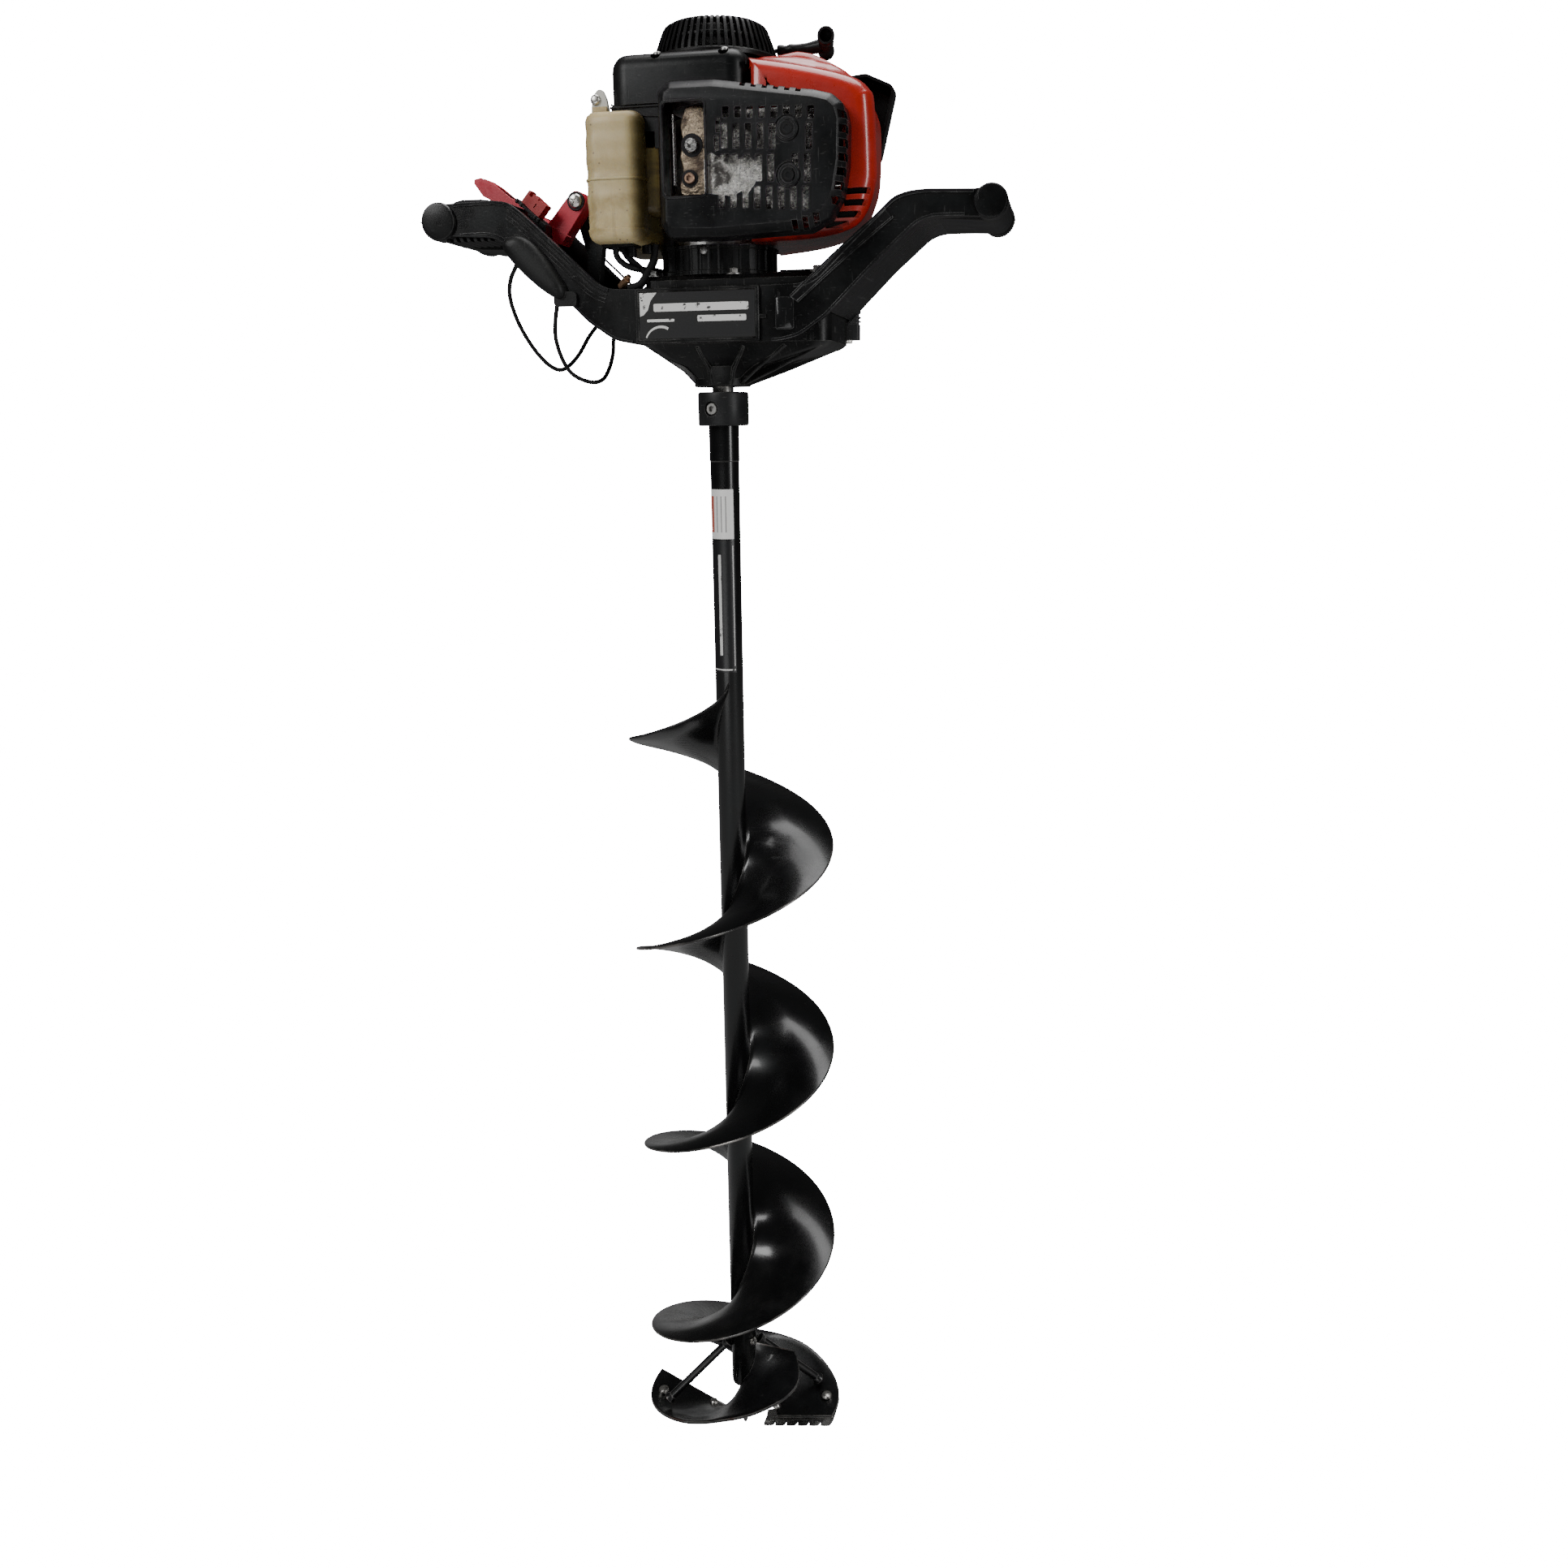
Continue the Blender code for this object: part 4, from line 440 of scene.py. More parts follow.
def smooth_line(points, per_span=6):
    """Points on a Catmull-Rom curve through the given ones, of any dimension."""
    route = [Vector(p) for p in points]
    route = [2 * route[0] - route[1]] + route + [2 * route[-1] - route[-2]]
    dense = []
    for k in range(1, len(route) - 2):
        p0, p1, p2, p3 = route[k - 1:k + 3]
        for i in range(per_span):
            t = i / per_span
            dense.append(0.5 * (2 * p1 + (p2 - p0) * t + (2 * p0 - 5 * p1 + 4 * p2 - p3) * t * t
                                + (3 * p1 - p0 - 3 * p2 + p3) * t ** 3))
    dense.append(route[-2])
    return dense


PLANES = {"xz": lambda u, v, w: (u, w, v), "xy": lambda u, v, w: (u, v, w), "yz": lambda u, v, w: (w, u, v)}
AXES = {"z": lambda a, b, h: (a, b, h), "x": lambda a, b, h: (h, a, b), "y": lambda a, b, h: (a, h, b)}


class Piece:
    """One visible piece, gathered from closed shells in millimetres."""

    def __init__(self):
        self.bm = bmesh.new()

    def skin(self, loops, closed=False, caps=True):
        rings = [[self.bm.verts.new(Vector(p) * MM) for p in loop] for loop in loops]
        pairs = list(zip(rings, rings[1:]))
        if closed:
            pairs.append((rings[-1], rings[0]))
        for a, b in pairs:
            for i in range(len(a)):
                j = (i + 1) % len(a)
                self.bm.faces.new((a[i], a[j], b[j], b[i]))
        if caps and not closed:
            self.bm.faces.new(rings[0])
            self.bm.faces.new(rings[-1])
        return self

    def prism(self, outline, plane, low, high):
        return self.skin([[PLANES[plane](u, v, w) for u, v in outline] for w in (low, high)])

    def stack(self, plane, layers):
        """A loft of (outline, depth) layers in one plane."""
        return self.skin([[PLANES[plane](u, v, w) for u, v in outline] for outline, w in layers])

    def lathe(self, profile, axis="z", at=(0, 0, 0), segments=48, start=0.0):
        """Revolve (radius, height) rings; the first and last are capped."""
        loops = []
        for radius, height in profile:
            ring = []
            for i in range(segments):
                angle = start + TAU * i / segments
                p = AXES[axis](max(radius, 0.01) * math.cos(angle), max(radius, 0.01) * math.sin(angle),
                               height)
                ring.append((at[0] + p[0], at[1] + p[1], at[2] + p[2]))
            loops.append(ring)
        return self.skin(loops)

    def ring(self, profile, axis="z", at=(0, 0, 0), segments=48):
        loops = []
        for radius, height in profile:
            ring = []
            for i in range(segments):
                angle = TAU * i / segments
                p = AXES[axis](radius * math.cos(angle), radius * math.sin(angle), height)
                ring.append((at[0] + p[0], at[1] + p[1], at[2] + p[2]))
            loops.append(ring)
        return self.skin(loops, closed=True)

    def turned_along(self, start, direction, profile, segments=24):
        """Revolve (radius, distance) rings about a line that starts at a point."""
        turn = Vector(direction).to_track_quat("Z", "Y").to_matrix()
        loops = []
        for radius, height in profile:
            ring = []
            for i in range(segments):
                angle = TAU * i / segments
                ring.append(Vector(start) + turn @ Vector((radius * math.cos(angle),
                                                           radius * math.sin(angle), height)))
            loops.append(ring)
        return self.skin(loops)

    def rod(self, start, end, radius, segments=20, chamfer=0.3):
        start, end = Vector(start), Vector(end)
        length = (end - start).length
        return self.turned_along(start, end - start, [(radius - chamfer, 0), (radius, chamfer),
                                                      (radius, length - chamfer),
                                                      (radius - chamfer, length)], segments)

    def box(self, low, high, turn=None, at=None):
        (x0, y0, z0), (x1, y1, z1) = low, high
        loops = [[Vector((x0, y0, z)), Vector((x1, y0, z)), Vector((x1, y1, z)), Vector((x0, y1, z))]
                 for z in (z0, z1)]
        if turn is not None:
            loops = [[turn @ p + Vector(at) for p in loop] for loop in loops]
        return self.skin(loops)

    def tube(self, points, radii, segments=14):
        """A round tube along points, with one radius or one per point."""
        line = [Vector(p) for p in points]
        if not hasattr(radii, "__len__"):
            radii = [radii] * len(line)
        loops = []
        side = None
        for i, here in enumerate(line):
            ahead = (line[min(i + 1, len(line) - 1)] - line[max(i - 1, 0)]).normalized()
            if side is None:
                side = ahead.orthogonal().normalized()
            side = (side - ahead * side.dot(ahead)).normalized()
            other = ahead.cross(side)
            loops.append([here + radii[i] * (side * math.cos(TAU * k / segments)
                                             + other * math.sin(TAU * k / segments))
                          for k in range(segments)])
        return self.skin(loops)

    def strip(self, line, half, y0, y1):
        """A rib on an XZ line: half its width each side, from depth y0 to y1."""
        path = [Vector(p) for p in line]
        loops = []
        for i, here in enumerate(path):
            ahead = (path[min(i + 1, len(path) - 1)] - path[max(i - 1, 0)]).normalized()
            side = Vector((-ahead.y, ahead.x)) * half
            a, b = here - side, here + side
            loops.append([(a.x, y0, a.y), (b.x, y0, b.y), (b.x, y1, b.y), (a.x, y1, a.y)])
        return self.skin(loops)

    def screw(self, at, direction, radius, height, kind="socket"):
        """A screw head standing on a surface: socket, hex or plain domed."""
        turn = Vector(direction).to_track_quat("Z", "Y").to_matrix()
        count = 24

        def loop(r, h, hexed=False):
            ring = []
            for i in range(count):
                angle = TAU * i / count
                reach = r
                if hexed:
                    off = (angle + TAU / 12) % (TAU / 6) - TAU / 12
                    reach = r * math.cos(TAU / 12) / math.cos(off)
                ring.append(Vector(at) + turn @ Vector((reach * math.cos(angle), reach * math.sin(angle), h)))
            return ring

        if kind == "hex":
            loops = [loop(radius * 1.25, 0), loop(radius * 1.25, 0.5), loop(radius * 1.25, 0.5),
                     loop(radius, 0.5, True),
                     loop(radius, height - 0.5, True), loop(radius * 0.84, height),
                     loop(radius * 0.3, height)]
        elif kind == "socket":
            loops = [loop(radius, 0), loop(radius, height - 0.6), loop(radius - 0.6, height),
                     loop(radius * 0.56, height, True), loop(radius * 0.52, height * 0.35, True),
                     loop(radius * 0.1, height * 0.35)]
        else:
            loops = [loop(radius, 0), loop(radius, height * 0.35), loop(radius * 0.85, height * 0.75),
                     loop(radius * 0.5, height), loop(radius * 0.1, height)]
        return self.skin(loops)

    def cut(self, other):
        """Take another piece's shells away."""
        mine, tool = temp_object(self.bm), temp_object(other.bm)
        step = mine.modifiers.new("cut", "BOOLEAN")
        step.operation = "DIFFERENCE"
        step.object = tool
        bpy.context.view_layer.update()
        depsgraph = bpy.context.evaluated_depsgraph_get()
        mesh = bpy.data.meshes.new_from_object(mine.evaluated_get(depsgraph))
        self.bm = bmesh.new()
        self.bm.from_mesh(mesh)
        bpy.data.meshes.remove(mesh)
        bpy.data.objects.remove(mine)
        bpy.data.objects.remove(tool)
        return self

    def done(self, name, material, body, stands_for=(), bevel=0.0, smooth=35.0, segments=2):
        bmesh.ops.recalc_face_normals(self.bm, faces=self.bm.faces[:])
        mesh = bpy.data.meshes.new(name)
        self.bm.to_mesh(mesh)
        self.bm.free()
        mesh.shade_smooth()
        mesh.set_sharp_from_angle(angle=math.radians(smooth))
        mesh.materials.append(material)
        obj = bpy.data.objects.new(name, mesh)
        bpy.context.collection.objects.link(obj)
        if bevel:
            step = obj.modifiers.new("edge", "BEVEL")
            step.width = bevel * MM
            step.segments = segments
            step.limit_method = "ANGLE"
            step.angle_limit = math.radians(40)
            step.harden_normals = True
        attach(obj, body)
        if stands_for:
            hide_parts(*stands_for)
        return obj


def temp_object(bm):
    bmesh.ops.recalc_face_normals(bm, faces=bm.faces[:])
    mesh = bpy.data.meshes.new("temp")
    bm.to_mesh(mesh)
    bm.free()
    obj = bpy.data.objects.new("temp", mesh)
    bpy.context.collection.objects.link(obj)
    return obj


def paint(material, *nodes, bevel=0.0):
    """Give CAD nodes that keep their shape a finished material."""
    for name in nodes:
        obj = NODES[name]
        obj.data.materials.clear()
        obj.data.materials.append(material)
        if bevel:
            step = obj.modifiers.new("edge", "BEVEL")
            step.width = bevel * MM
            step.segments = 2
            step.limit_method = "ANGLE"
            step.angle_limit = math.radians(40)


# ---------------------------------------------------------------- cords


def cords():
    """Throttle cable, stop wire and fuel hose."""
    cable = [(-176, -20, 1191), (-181, -19, 1181), (-188, -16, 1170), (-191, -12, 1156), (-188, -4, 1136),
             (-181, 8, 1116), (-172, 20, 1101), (-163, 28, 1095), (-156, 36, 1099), (-149, 46, 1110),
             (-142, 56, 1126), (-131, 64, 1141), (-114, 69, 1153), (-94, 71, 1165), (-70, 74, 1179),
             (-40, 80, 1192), (-8, 84, 1205), (20, 84, 1222), (38, 80, 1250), (47, 76, 1266), (51, 74, 1272)]
    wire = [(-138, -30, 1158), (-141, -28, 1147), (-145, -24, 1133), (-148, -16, 1118), (-146, -6, 1101),
            (-140, 4, 1089), (-127, 14, 1083), (-119, 23, 1086), (-116, 33, 1096), (-115, 42, 1109),
            (-117, 52, 1123), (-116, 60, 1138), (-106, 62, 1152), (-90, 62, 1170), (-77, 62, 1190),
            (-70, 61, 1215), (-66, 60, 1250), (-64, 59, 1280), (-62, 50, 1300), (-61, 34, 1310),
            (-60, 13, 1310)]
    hose = [(-75, -60, 1187), (-74, -59, 1181), (-68, -58, 1175), (-60, -54, 1172), (-56, -42, 1172),
            (-56, -20, 1174), (-56, 5, 1175), (-55, 30, 1176), (-48, 52, 1180), (-30, 66, 1188),
            (0, 74, 1198), (28, 76, 1212), (44, 76, 1226), (52, 76, 1231), (60, 75, 1232)]
    jacket = moulded("cable_jacket", (0.004, 0.004, 0.0042), 0.42, (0.06, 0.06, 0.06), wear=0.4, grain=0.2)
    for name, route, radius in (("throttle_cable", cable, 1.9), ("stop_wire", wire, 1.9),
                                ("fuel_hose", hose, 2.6)):
        line = smooth_line(route, 5)
        obj = Piece().tube(line, radius, 16).done(name + "_run", jacket, "powerhead", (name,))


# ---------------------------------------------------------------- drill

FLIGHT_START, FLIGHT_FULL, FLIGHT_END = 75.0, (95.0, 1260.0), 1345.0
WING_STATIONS = ((0, 37, 18, 100.5, 37), (28, 30, 23, 100.5, 38), (63, 30, 35, 90, 50), (82, 22, 45, 81, 56),
                 (100, 13.3, 58, 74, 61), (130, 13.3, 68, 70, 68), (165, 13.3, 82, 71, 80),
                 (190, 13.3, 100, 55, 96))


def flight_radius(azimuth):
    if azimuth < FLIGHT_FULL[0]:
        return 97.0 * (0.6 + 0.4 * (azimuth - FLIGHT_START) / (FLIGHT_FULL[0] - FLIGHT_START))
    if azimuth > FLIGHT_FULL[1]:
        part = (azimuth - FLIGHT_FULL[1]) / (FLIGHT_END - FLIGHT_FULL[1])
        return 97.0 + (15.0 - 97.0) * part ** 0.8
    return 97.0


def flighting(material):
    """Fine helicoid with a rounded rim and a weld fillet on the shaft."""
    loops = []
    steps = int((FLIGHT_END - FLIGHT_START) / 4.0)
    for i in range(steps + 1):
        azimuth = FLIGHT_START + (FLIGHT_END - FLIGHT_START) * i / steps
        z = 23.0 + 210.7 * azimuth / 360.0
        r = max(flight_radius(azimuth), 21.0)
        angle = math.radians(azimuth) + FLIGHT_ZERO_AZ
        weld = 0.5 * math.sin(azimuth * 0.9) * math.sin(azimuth * 0.37)
        section = [(13.1, z - 6.0 + weld), (14.6, z - 4.3), (17.0, z - 3.0), (r * 0.5 + 8, z - 3.0),
                   (r - 1.2, z - 2.9),
                   (r - 0.3, z - 2.3), (r, z - 1.5), (r - 0.3, z - 0.6), (r - 1.2, z), (r * 0.5 + 8, z + 0.1),
                   (17.0, z), (14.6, z + 1.3), (13.1, z + 3.0 + weld)]
        loops.append([(a * math.cos(angle), a * math.sin(angle), b) for a, b in section])
    Piece().skin(loops).done("flighting_plate", material, "drill", ("flighting",), smooth=50)


def wings(material):
    """The two wings of the cutting head."""
    fine = smooth_line(WING_STATIONS, 7)
    for side, half in (("right", 0.0), ("left", 180.0)):
        loops = []
        for station in fine:
            sweep, in_r, in_z, out_r, out_z = station
            angle = math.radians(WING_LEAD + half + sweep) + FLIGHT_ZERO_AZ
            depth = 3.0 * math.sin(math.pi * min(1.0, max(0.0, sweep / 170.0)))
            top = []
            for across, shape in ((0.0, 0.0), (0.1, -0.25), (0.3, -0.75), (0.55, -1.0), (0.78, -0.75),
                                  (0.88, -0.15),
                                  (0.95, 0.12), (0.985, 0.14), (1.0, 0.0)):
                r = in_r + (out_r - in_r) * across
                z = in_z + (out_z - in_z) * across + depth * shape
                top.append((r, z))
            section = top + [(r, z - 3.0) for r, z in reversed(top)]
            loops.append([(r * math.cos(angle), r * math.sin(angle), z) for r, z in section])
        Piece().skin(loops).done("cutter_wing_" + side, material, "drill", ("wing_" + side,), smooth=45)


def blades(material, bolt_metal, paint_material):
    """The two serrated blades and their bolts."""
    pitch = (BLADE_TIP - BLADE_ROOT) / BLADE_TEETH
    marks = []
    for k in range(BLADE_TEETH):
        start = BLADE_ROOT + k * pitch
        marks += [(start, 3.6), (start + 1.2, 6.6), (start + 2.2, 7.2), (start + pitch / 2, 7.5),
                  (start + pitch - 2.2, 7.2), (start + pitch - 1.2, 6.6)]
    marks.append((BLADE_TIP, 4.0))
    for side, half in (("right", 0.0), ("left", 180.0)):
        lead = math.radians(WING_LEAD + half) + FLIGHT_ZERO_AZ

        def point(radius, behind, height, lead=lead):
            angle = lead + behind / radius
            return (radius * math.cos(angle), radius * math.sin(angle), height)

        loops = []
        for radius, reach in marks:
            under = 18.0 + (radius - 37.0) * 19.0 / 63.5 - 3.3
            width = 13.0 + 0.26 * (radius - BLADE_ROOT)
            loops.append([point(radius, width, under), point(radius, width * 0.5, under),
                          point(radius, 0.0, under),
                          point(radius, -reach * 0.5, under - reach * 0.25),
                          point(radius, -reach, under - reach * 0.6),
                          point(radius, 1.5 - reach, under - reach * 0.6 - 0.8),
                          point(radius, 1.0, under - 3.2), point(radius, width, under - 3.2)])
        Piece().skin(loops).done("cutter_blade_" + side, material, "drill", ("blade_" + side,), smooth=25)
        bolts = Piece()
        for radius, sweep, height in ((88.0, 19.0, 34.6), (34.0, 17.0, 20.6)):
            at = point(radius, math.radians(sweep) * radius, height)
            bolts.screw(at, (0, 0, 1), 5.6 if radius > 50 else 4.4, 4.2, "plain")
        bolts.done("cutter_bolts_" + side, bolt_metal, "drill")
        out = Matrix.Rotation(math.radians(8.0 + half) + FLIGHT_ZERO_AZ, 3, "Z")
        foot, head = out @ Vector((81.0, 0, 41.0)), out @ Vector((16.4, 0, 102.0))
        along = (head - foot).normalized()
        stay = Piece().rod(foot, head, 4.0, 20, 0.6)
        stay.turned_along(foot - along * 1.5, along, [(3.0, 0), (6.2, 1.0), (5.6, 3.6), (4.1, 6.0)], 18)
        stay.turned_along(head - along * 6.0, along, [(4.1, 0), (5.6, 3.0), (5.8, 5.5), (3.0, 7.0)], 18)
        stay.done("cutter_stay_" + side, paint_material, "drill", ("strut_" + side,))


def shaft(material, bolt_metal, decal_white, decal_black, ink):
    """The shaft tube with its plain patches and cross bolt."""
    Piece().lathe([(12.6, 56.2), (13.0, 56.8), (13.0, 1012.0), (13.5, 1012.6), (13.5, 1048.6),
                   (12.8, 1049.0)],
                  segments=72).done("shaft_tube", material, "drill", ("drill_shaft",))
    cross = Piece()
    a = math.radians(-26.0)
    out = Vector((math.cos(a), math.sin(a), 0))
    for way in (out, -out):
        cross.screw(way * 12.4 + Vector((0, 0, 105)), way, 3.6, 3.0, "hex")
    cross.done("shaft_cross_bolt", bolt_metal, "drill")

    def patch(name, mat, low, high, start, end, lift):
        loops = []
        for i in range(17):
            angle = math.radians(start + (end - start) * i / 16) - math.pi / 2
            ring = []
            for radius, z in ((13.02, low), (13.02 + lift, low), (13.02 + lift, high), (13.02, high)):
                ring.append((radius * math.cos(angle), radius * math.sin(angle), z))
            loops.append(ring)
        Piece().skin(loops).done(name, mat, "drill", smooth=30)

    patch("shaft_patch_white", decal_white, 944.0, 988.0, -60, 46, 0.18)
    patch("shaft_patch_black", decal_black, 822.0, 943.0, -60, 46, 0.14)
    patch("shaft_patch_stripe", ink, 838.0, 930.0, -22, -10, 0.2)
    patch("shaft_patch_line_low", ink, 824.0, 825.4, -56, 42, 0.2)
    patch("shaft_patch_line_side", ink, 828.0, 938.0, 38, 41, 0.2)
    patch("shaft_patch_note", plain("note_red", (0.45, 0.12, 0.09), 0.45), 950.0, 982.0, -58, -38, 0.26)
    for k in range(3):
        patch("shaft_patch_rule_%d" % k, plain("note_grey_%d" % k, (0.25, 0.25, 0.25), 0.5), 950.0, 982.0,
              -24 + 18 * k, -20 + 18 * k, 0.24)


def collar(material, bolt_metal):
    """The coupling collar and its bolt."""
    profile = [(13.4, 1043.0), (20.9, 1043.0), (22.0, 1043.6), (22.5, 1044.8), (22.5, 1070.0), (22.0, 1071.4),
               (21.0, 1072.0), (10.0, 1072.0), (10.0, 1049.4), (13.4, 1049.4)]
    piece = Piece().ring(profile, segments=80)
    out = Vector((math.cos(math.radians(-106)), math.sin(math.radians(-106)), 0))
    tool = Piece().turned_along(out * 16.0 + Vector((0, 0, 1057.5)), out, [(6.4, 0), (6.4, 12)], 36)
    piece.cut(tool)
    piece.done("coupling_sleeve", material, "drill", ("coupling_collar",), bevel=0.4)
    bolt = Piece().rod(-out * 21.5 + Vector((0, 0, 1057.5)), out * 17.0 + Vector((0, 0, 1057.5)), 3.0)
    bolt.screw(out * 16.4 + Vector((0, 0, 1057.5)), out, 5.2, 5.0, "socket")
    bolt.done("coupling_socket_bolt", bolt_metal, "drill", ("coupling_bolt",))


# ---------------------------------------------------------------- gearbox

def level(outline, z):
    return [(x, y, z) for x, y in outline]


def circle_like(outline, radius):
    """A circle with one point for each of the outline's, at the same bearing."""
    return [(radius * x / math.hypot(x, y), radius * y / math.hypot(x, y)) for x, y in outline]


def gearbox(casting, neck_plastic, bolt_metal):
    """The gear case with its lid, and the clutch neck."""
    outer = round_box(-60, -50.5, 105, 50.5, 14, 10)
    dense = []
    for a, b in zip(outer, outer[1:] + outer[:1]):
        parts = max(1, int(math.dist(a, b) / 9.0))
        dense += [(a[0] + (b[0] - a[0]) * k / parts, a[1] + (b[1] - a[1]) * k / parts) for k in range(parts)]
    inner = []
    for x, y in dense:
        shrink = 1.0 - 3.6 / 50.5
        inner.append((22.5 + (x - 22.5) * (1.0 - 3.6 / 82.5), y * shrink))
    waist = [(x * 0.50 if x < 0 else x * 0.42, y * 0.52) for x, y in dense]
    mid = [((a[0] + b[0]) / 2 * 1.03, (a[1] + b[1]) / 2 * 1.03) for a, b in zip(waist, dense)]
    lip = [(22.5 + (x - 22.5) * 1.012, y * 1.02) for x, y in dense]
    shell = Piece().skin([
        level(circle_like(dense, 24.2), 1076.5), level(circle_like(dense, 25.0), 1077.3),
        level(circle_like(dense, 25.0), 1083), level(waist, 1093), level(mid, 1101),
        level(inset_xy(dense, 5), 1107),
        level(dense, 1111), level(dense, 1147.6), level(lip, 1148.4), level(lip, 1154.5),
        level(inner, 1154.5),
        level(inner, 1117.5), level(circle_like(dense, 21.3), 1115), level(circle_like(dense, 21.3), 1103.7),
        level(circle_like(dense, 18.3), 1103.7), level(circle_like(dense, 18.3), 1076.5)], closed=True)
    for x, y in ((-52, -42), (-52, 42), (96, -42), (96, 42), (30, -47), (30, 47), (-10, -47), (66, -47)):
        reach = math.hypot(x, y)
        turn = Matrix.Rotation(math.atan2(y, x), 3, "Z")
        rib = [(21, 1078), (24.6, 1078), (reach * 0.55, 1089.5), (reach, 1107.6), (reach, 1112), (21, 1112)]
        loops = []
        for side in (-1.5, -1.0, 1.0, 1.5):
            grow = 0.0 if abs(side) > 1.2 else 0.5
            loops.append([turn @ Vector((a + grow * (a > 22), side, b - grow)) for a, b in rib])
        shell.skin(loops)
    for x in (-40, 0, 50, 90):
        shell.box((x - 1.6, -52.0, 1112), (x + 1.6, -50.3, 1147))
    shell.done("gear_case_casting", casting, "powerhead", ("gear_case",), smooth=32)
    paint(casting, "gear_case_lid", bevel=1.2)
    caps = Piece()
    for x in (-49, 22, 94):
        for y in (-42.5, 42.5):
            caps.lathe([(7.0, 1165.6), (7.0, 1166.4), (6.2, 1166.8)], at=(x, y, 0), segments=28)
            caps.screw((x, y, 1166.6), (0, 0, 1), 4.6, 4.2, "hex")
    for x, y in ((58, 30), (86, 0), (58, -30)):
        caps.lathe([(9.0, 1165.6), (9.0, 1166.8), (8.0, 1167.4)], at=(x, y, 0), segments=28)
    caps.done("gear_lid_screws", bolt_metal, "powerhead")
    ribs = Piece()
    for x0, x1, y in ((-54, -40, -40), (60, 98, -34), (60, 98, 34), (60, 98, 0)):
        ribs.box((x0, y - 1.2, 1165.2), (x1, y + 1.2, 1169.0))
    ribs.done("gear_lid_ribs", casting, "powerhead", bevel=0.4)

    neck = Piece()
    profile = []
    for i in range(216):
        angle = TAU * i / 216
        column = max(0.0, -math.cos(4 * angle)) ** 14
        flute = 0.9 if i % 6 in (2, 3) else 0.0
        radius = 49.8 - flute * (column < 0.3) + 3.2 * min(1.0, column * 1.6)
        profile.append((radius * math.cos(angle), radius * math.sin(angle)))
    hole = [(30.0 * math.cos(TAU * i / 216), 30.0 * math.sin(TAU * i / 216)) for i in range(216)]
    flange = [(x * 1.02, y * 1.02) for x, y in profile]
    neck.skin([level(flange, 1166.3), level(flange, 1169.2), level(profile, 1170.0), level(profile, 1186.3),
               level(flange, 1187.0), level(flange, 1189.5), level(hole, 1189.5), level(hole, 1166.3)],
               closed=True)
    neck.done("clutch_neck", neck_plastic, "powerhead", ("clutch_housing",), smooth=28)
    front = Piece()
    front.screw((-1.0, -50.4, 1184.6), (0, -1, 0), 3.4, 2.6, "plain")
    for k in range(4):
        angle = math.radians(45 + 90 * k)
        front.screw((49 * math.cos(angle), 49 * math.sin(angle), 1169.4), (0, 0, 1), 3.4, 3.0, "socket")
    front.done("neck_screws", bolt_metal, "powerhead")


def inset_xy(points, distance):
    """Shrink a case outline about its centre so that it sits about a distance inside."""
    return [(22.5 + (x - 22.5) * (1.0 - distance / 82.5), y * (1.0 - distance / 50.5)) for x, y in points]


def front_panel(plastic, decal, ink):
    """The label panel with generic marks."""
    plate = round_box(-60, 1111.2, 47, 1155.5, 2.0, 4)
    panel = Piece().stack("xz", [(plate, -51.0), (plate, -58.9), (inset(plate, 0.6), -59.5),
                                 (inset(plate, 2.6), -59.5),
                                 (inset(plate, 3.0), -58.6)])
    panel.box((47.2, -57.5, 1129.5), (52.5, -52.5, 1132.5))
    panel.done("front_panel_plate", plastic, "powerhead", ("front_panel",), smooth=30)
    label = round_box(-56.4, 1114.8, 43.6, 1152.0, 1.0, 3)
    Piece().prism(label, "xz", -58.6, -58.78).done("panel_label", decal, "powerhead")
    marks = Piece()
    marks.prism([(-56.0, 1151.8), (-41.0, 1151.8), (-46.5, 1145.5), (-49.0, 1138.0), (-53.0, 1134.0),
                 (-56.0, 1133.0)], "xz", -58.7, -58.92)
    marks.prism(round_box(-44, 1136.6, 38, 1143.0, 1.2, 3), "xz", -58.7, -58.92)
    marks.prism(round_box(-6, 1128.0, 36, 1133.0, 1.0, 3), "xz", -58.7, -58.92)
    marks.prism(round_box(-50, 1128.4, -26, 1130.6, 0.8, 3), "xz", -58.7, -58.92)
    swoop = arc(-38, 1111.0, 14.5, 62, 158, 14) + list(reversed(arc(-38.6, 1110.6, 12.9, 60, 158, 14)))
    swoop = [(x, max(z, 1115.4)) for x, z in swoop]
    marks.prism(swoop, "xz", -58.7, -58.92)
    marks.done("panel_marks", ink, "powerhead")


# ---------------------------------------------------------------- arms

def rounded_line(points, radius, steps=6):
    """An open polyline with each inner corner turned into a soft bend."""
    out = [tuple(points[0])]
    for i in range(1, len(points) - 1):
        here = Vector(points[i])
        before = Vector(points[i - 1]) - here
        after = Vector(points[i + 1]) - here
        turn = before.angle(after)
        reach = min(radius / math.tan(turn / 2) + 4.0, before.length * 0.48, after.length * 0.48)
        start, end = here + before.normalized() * reach, here + after.normalized() * reach
        for k in range(steps + 1):
            t = k / steps
            out.append(tuple(start * (1 - t) ** 2 + here * 2 * t * (1 - t) + end * t * t))
    out.append(tuple(points[-1]))
    return out


def offset_line(points, distance):
    """The same open line moved to its left by a distance."""
    path = [Vector(p) for p in points]
    out = []
    for i, here in enumerate(path):
        ahead = (path[min(i + 1, len(path) - 1)] - path[max(i - 1, 0)]).normalized()
        out.append(tuple(here + Vector((-ahead.y, ahead.x)) * distance))
    return out


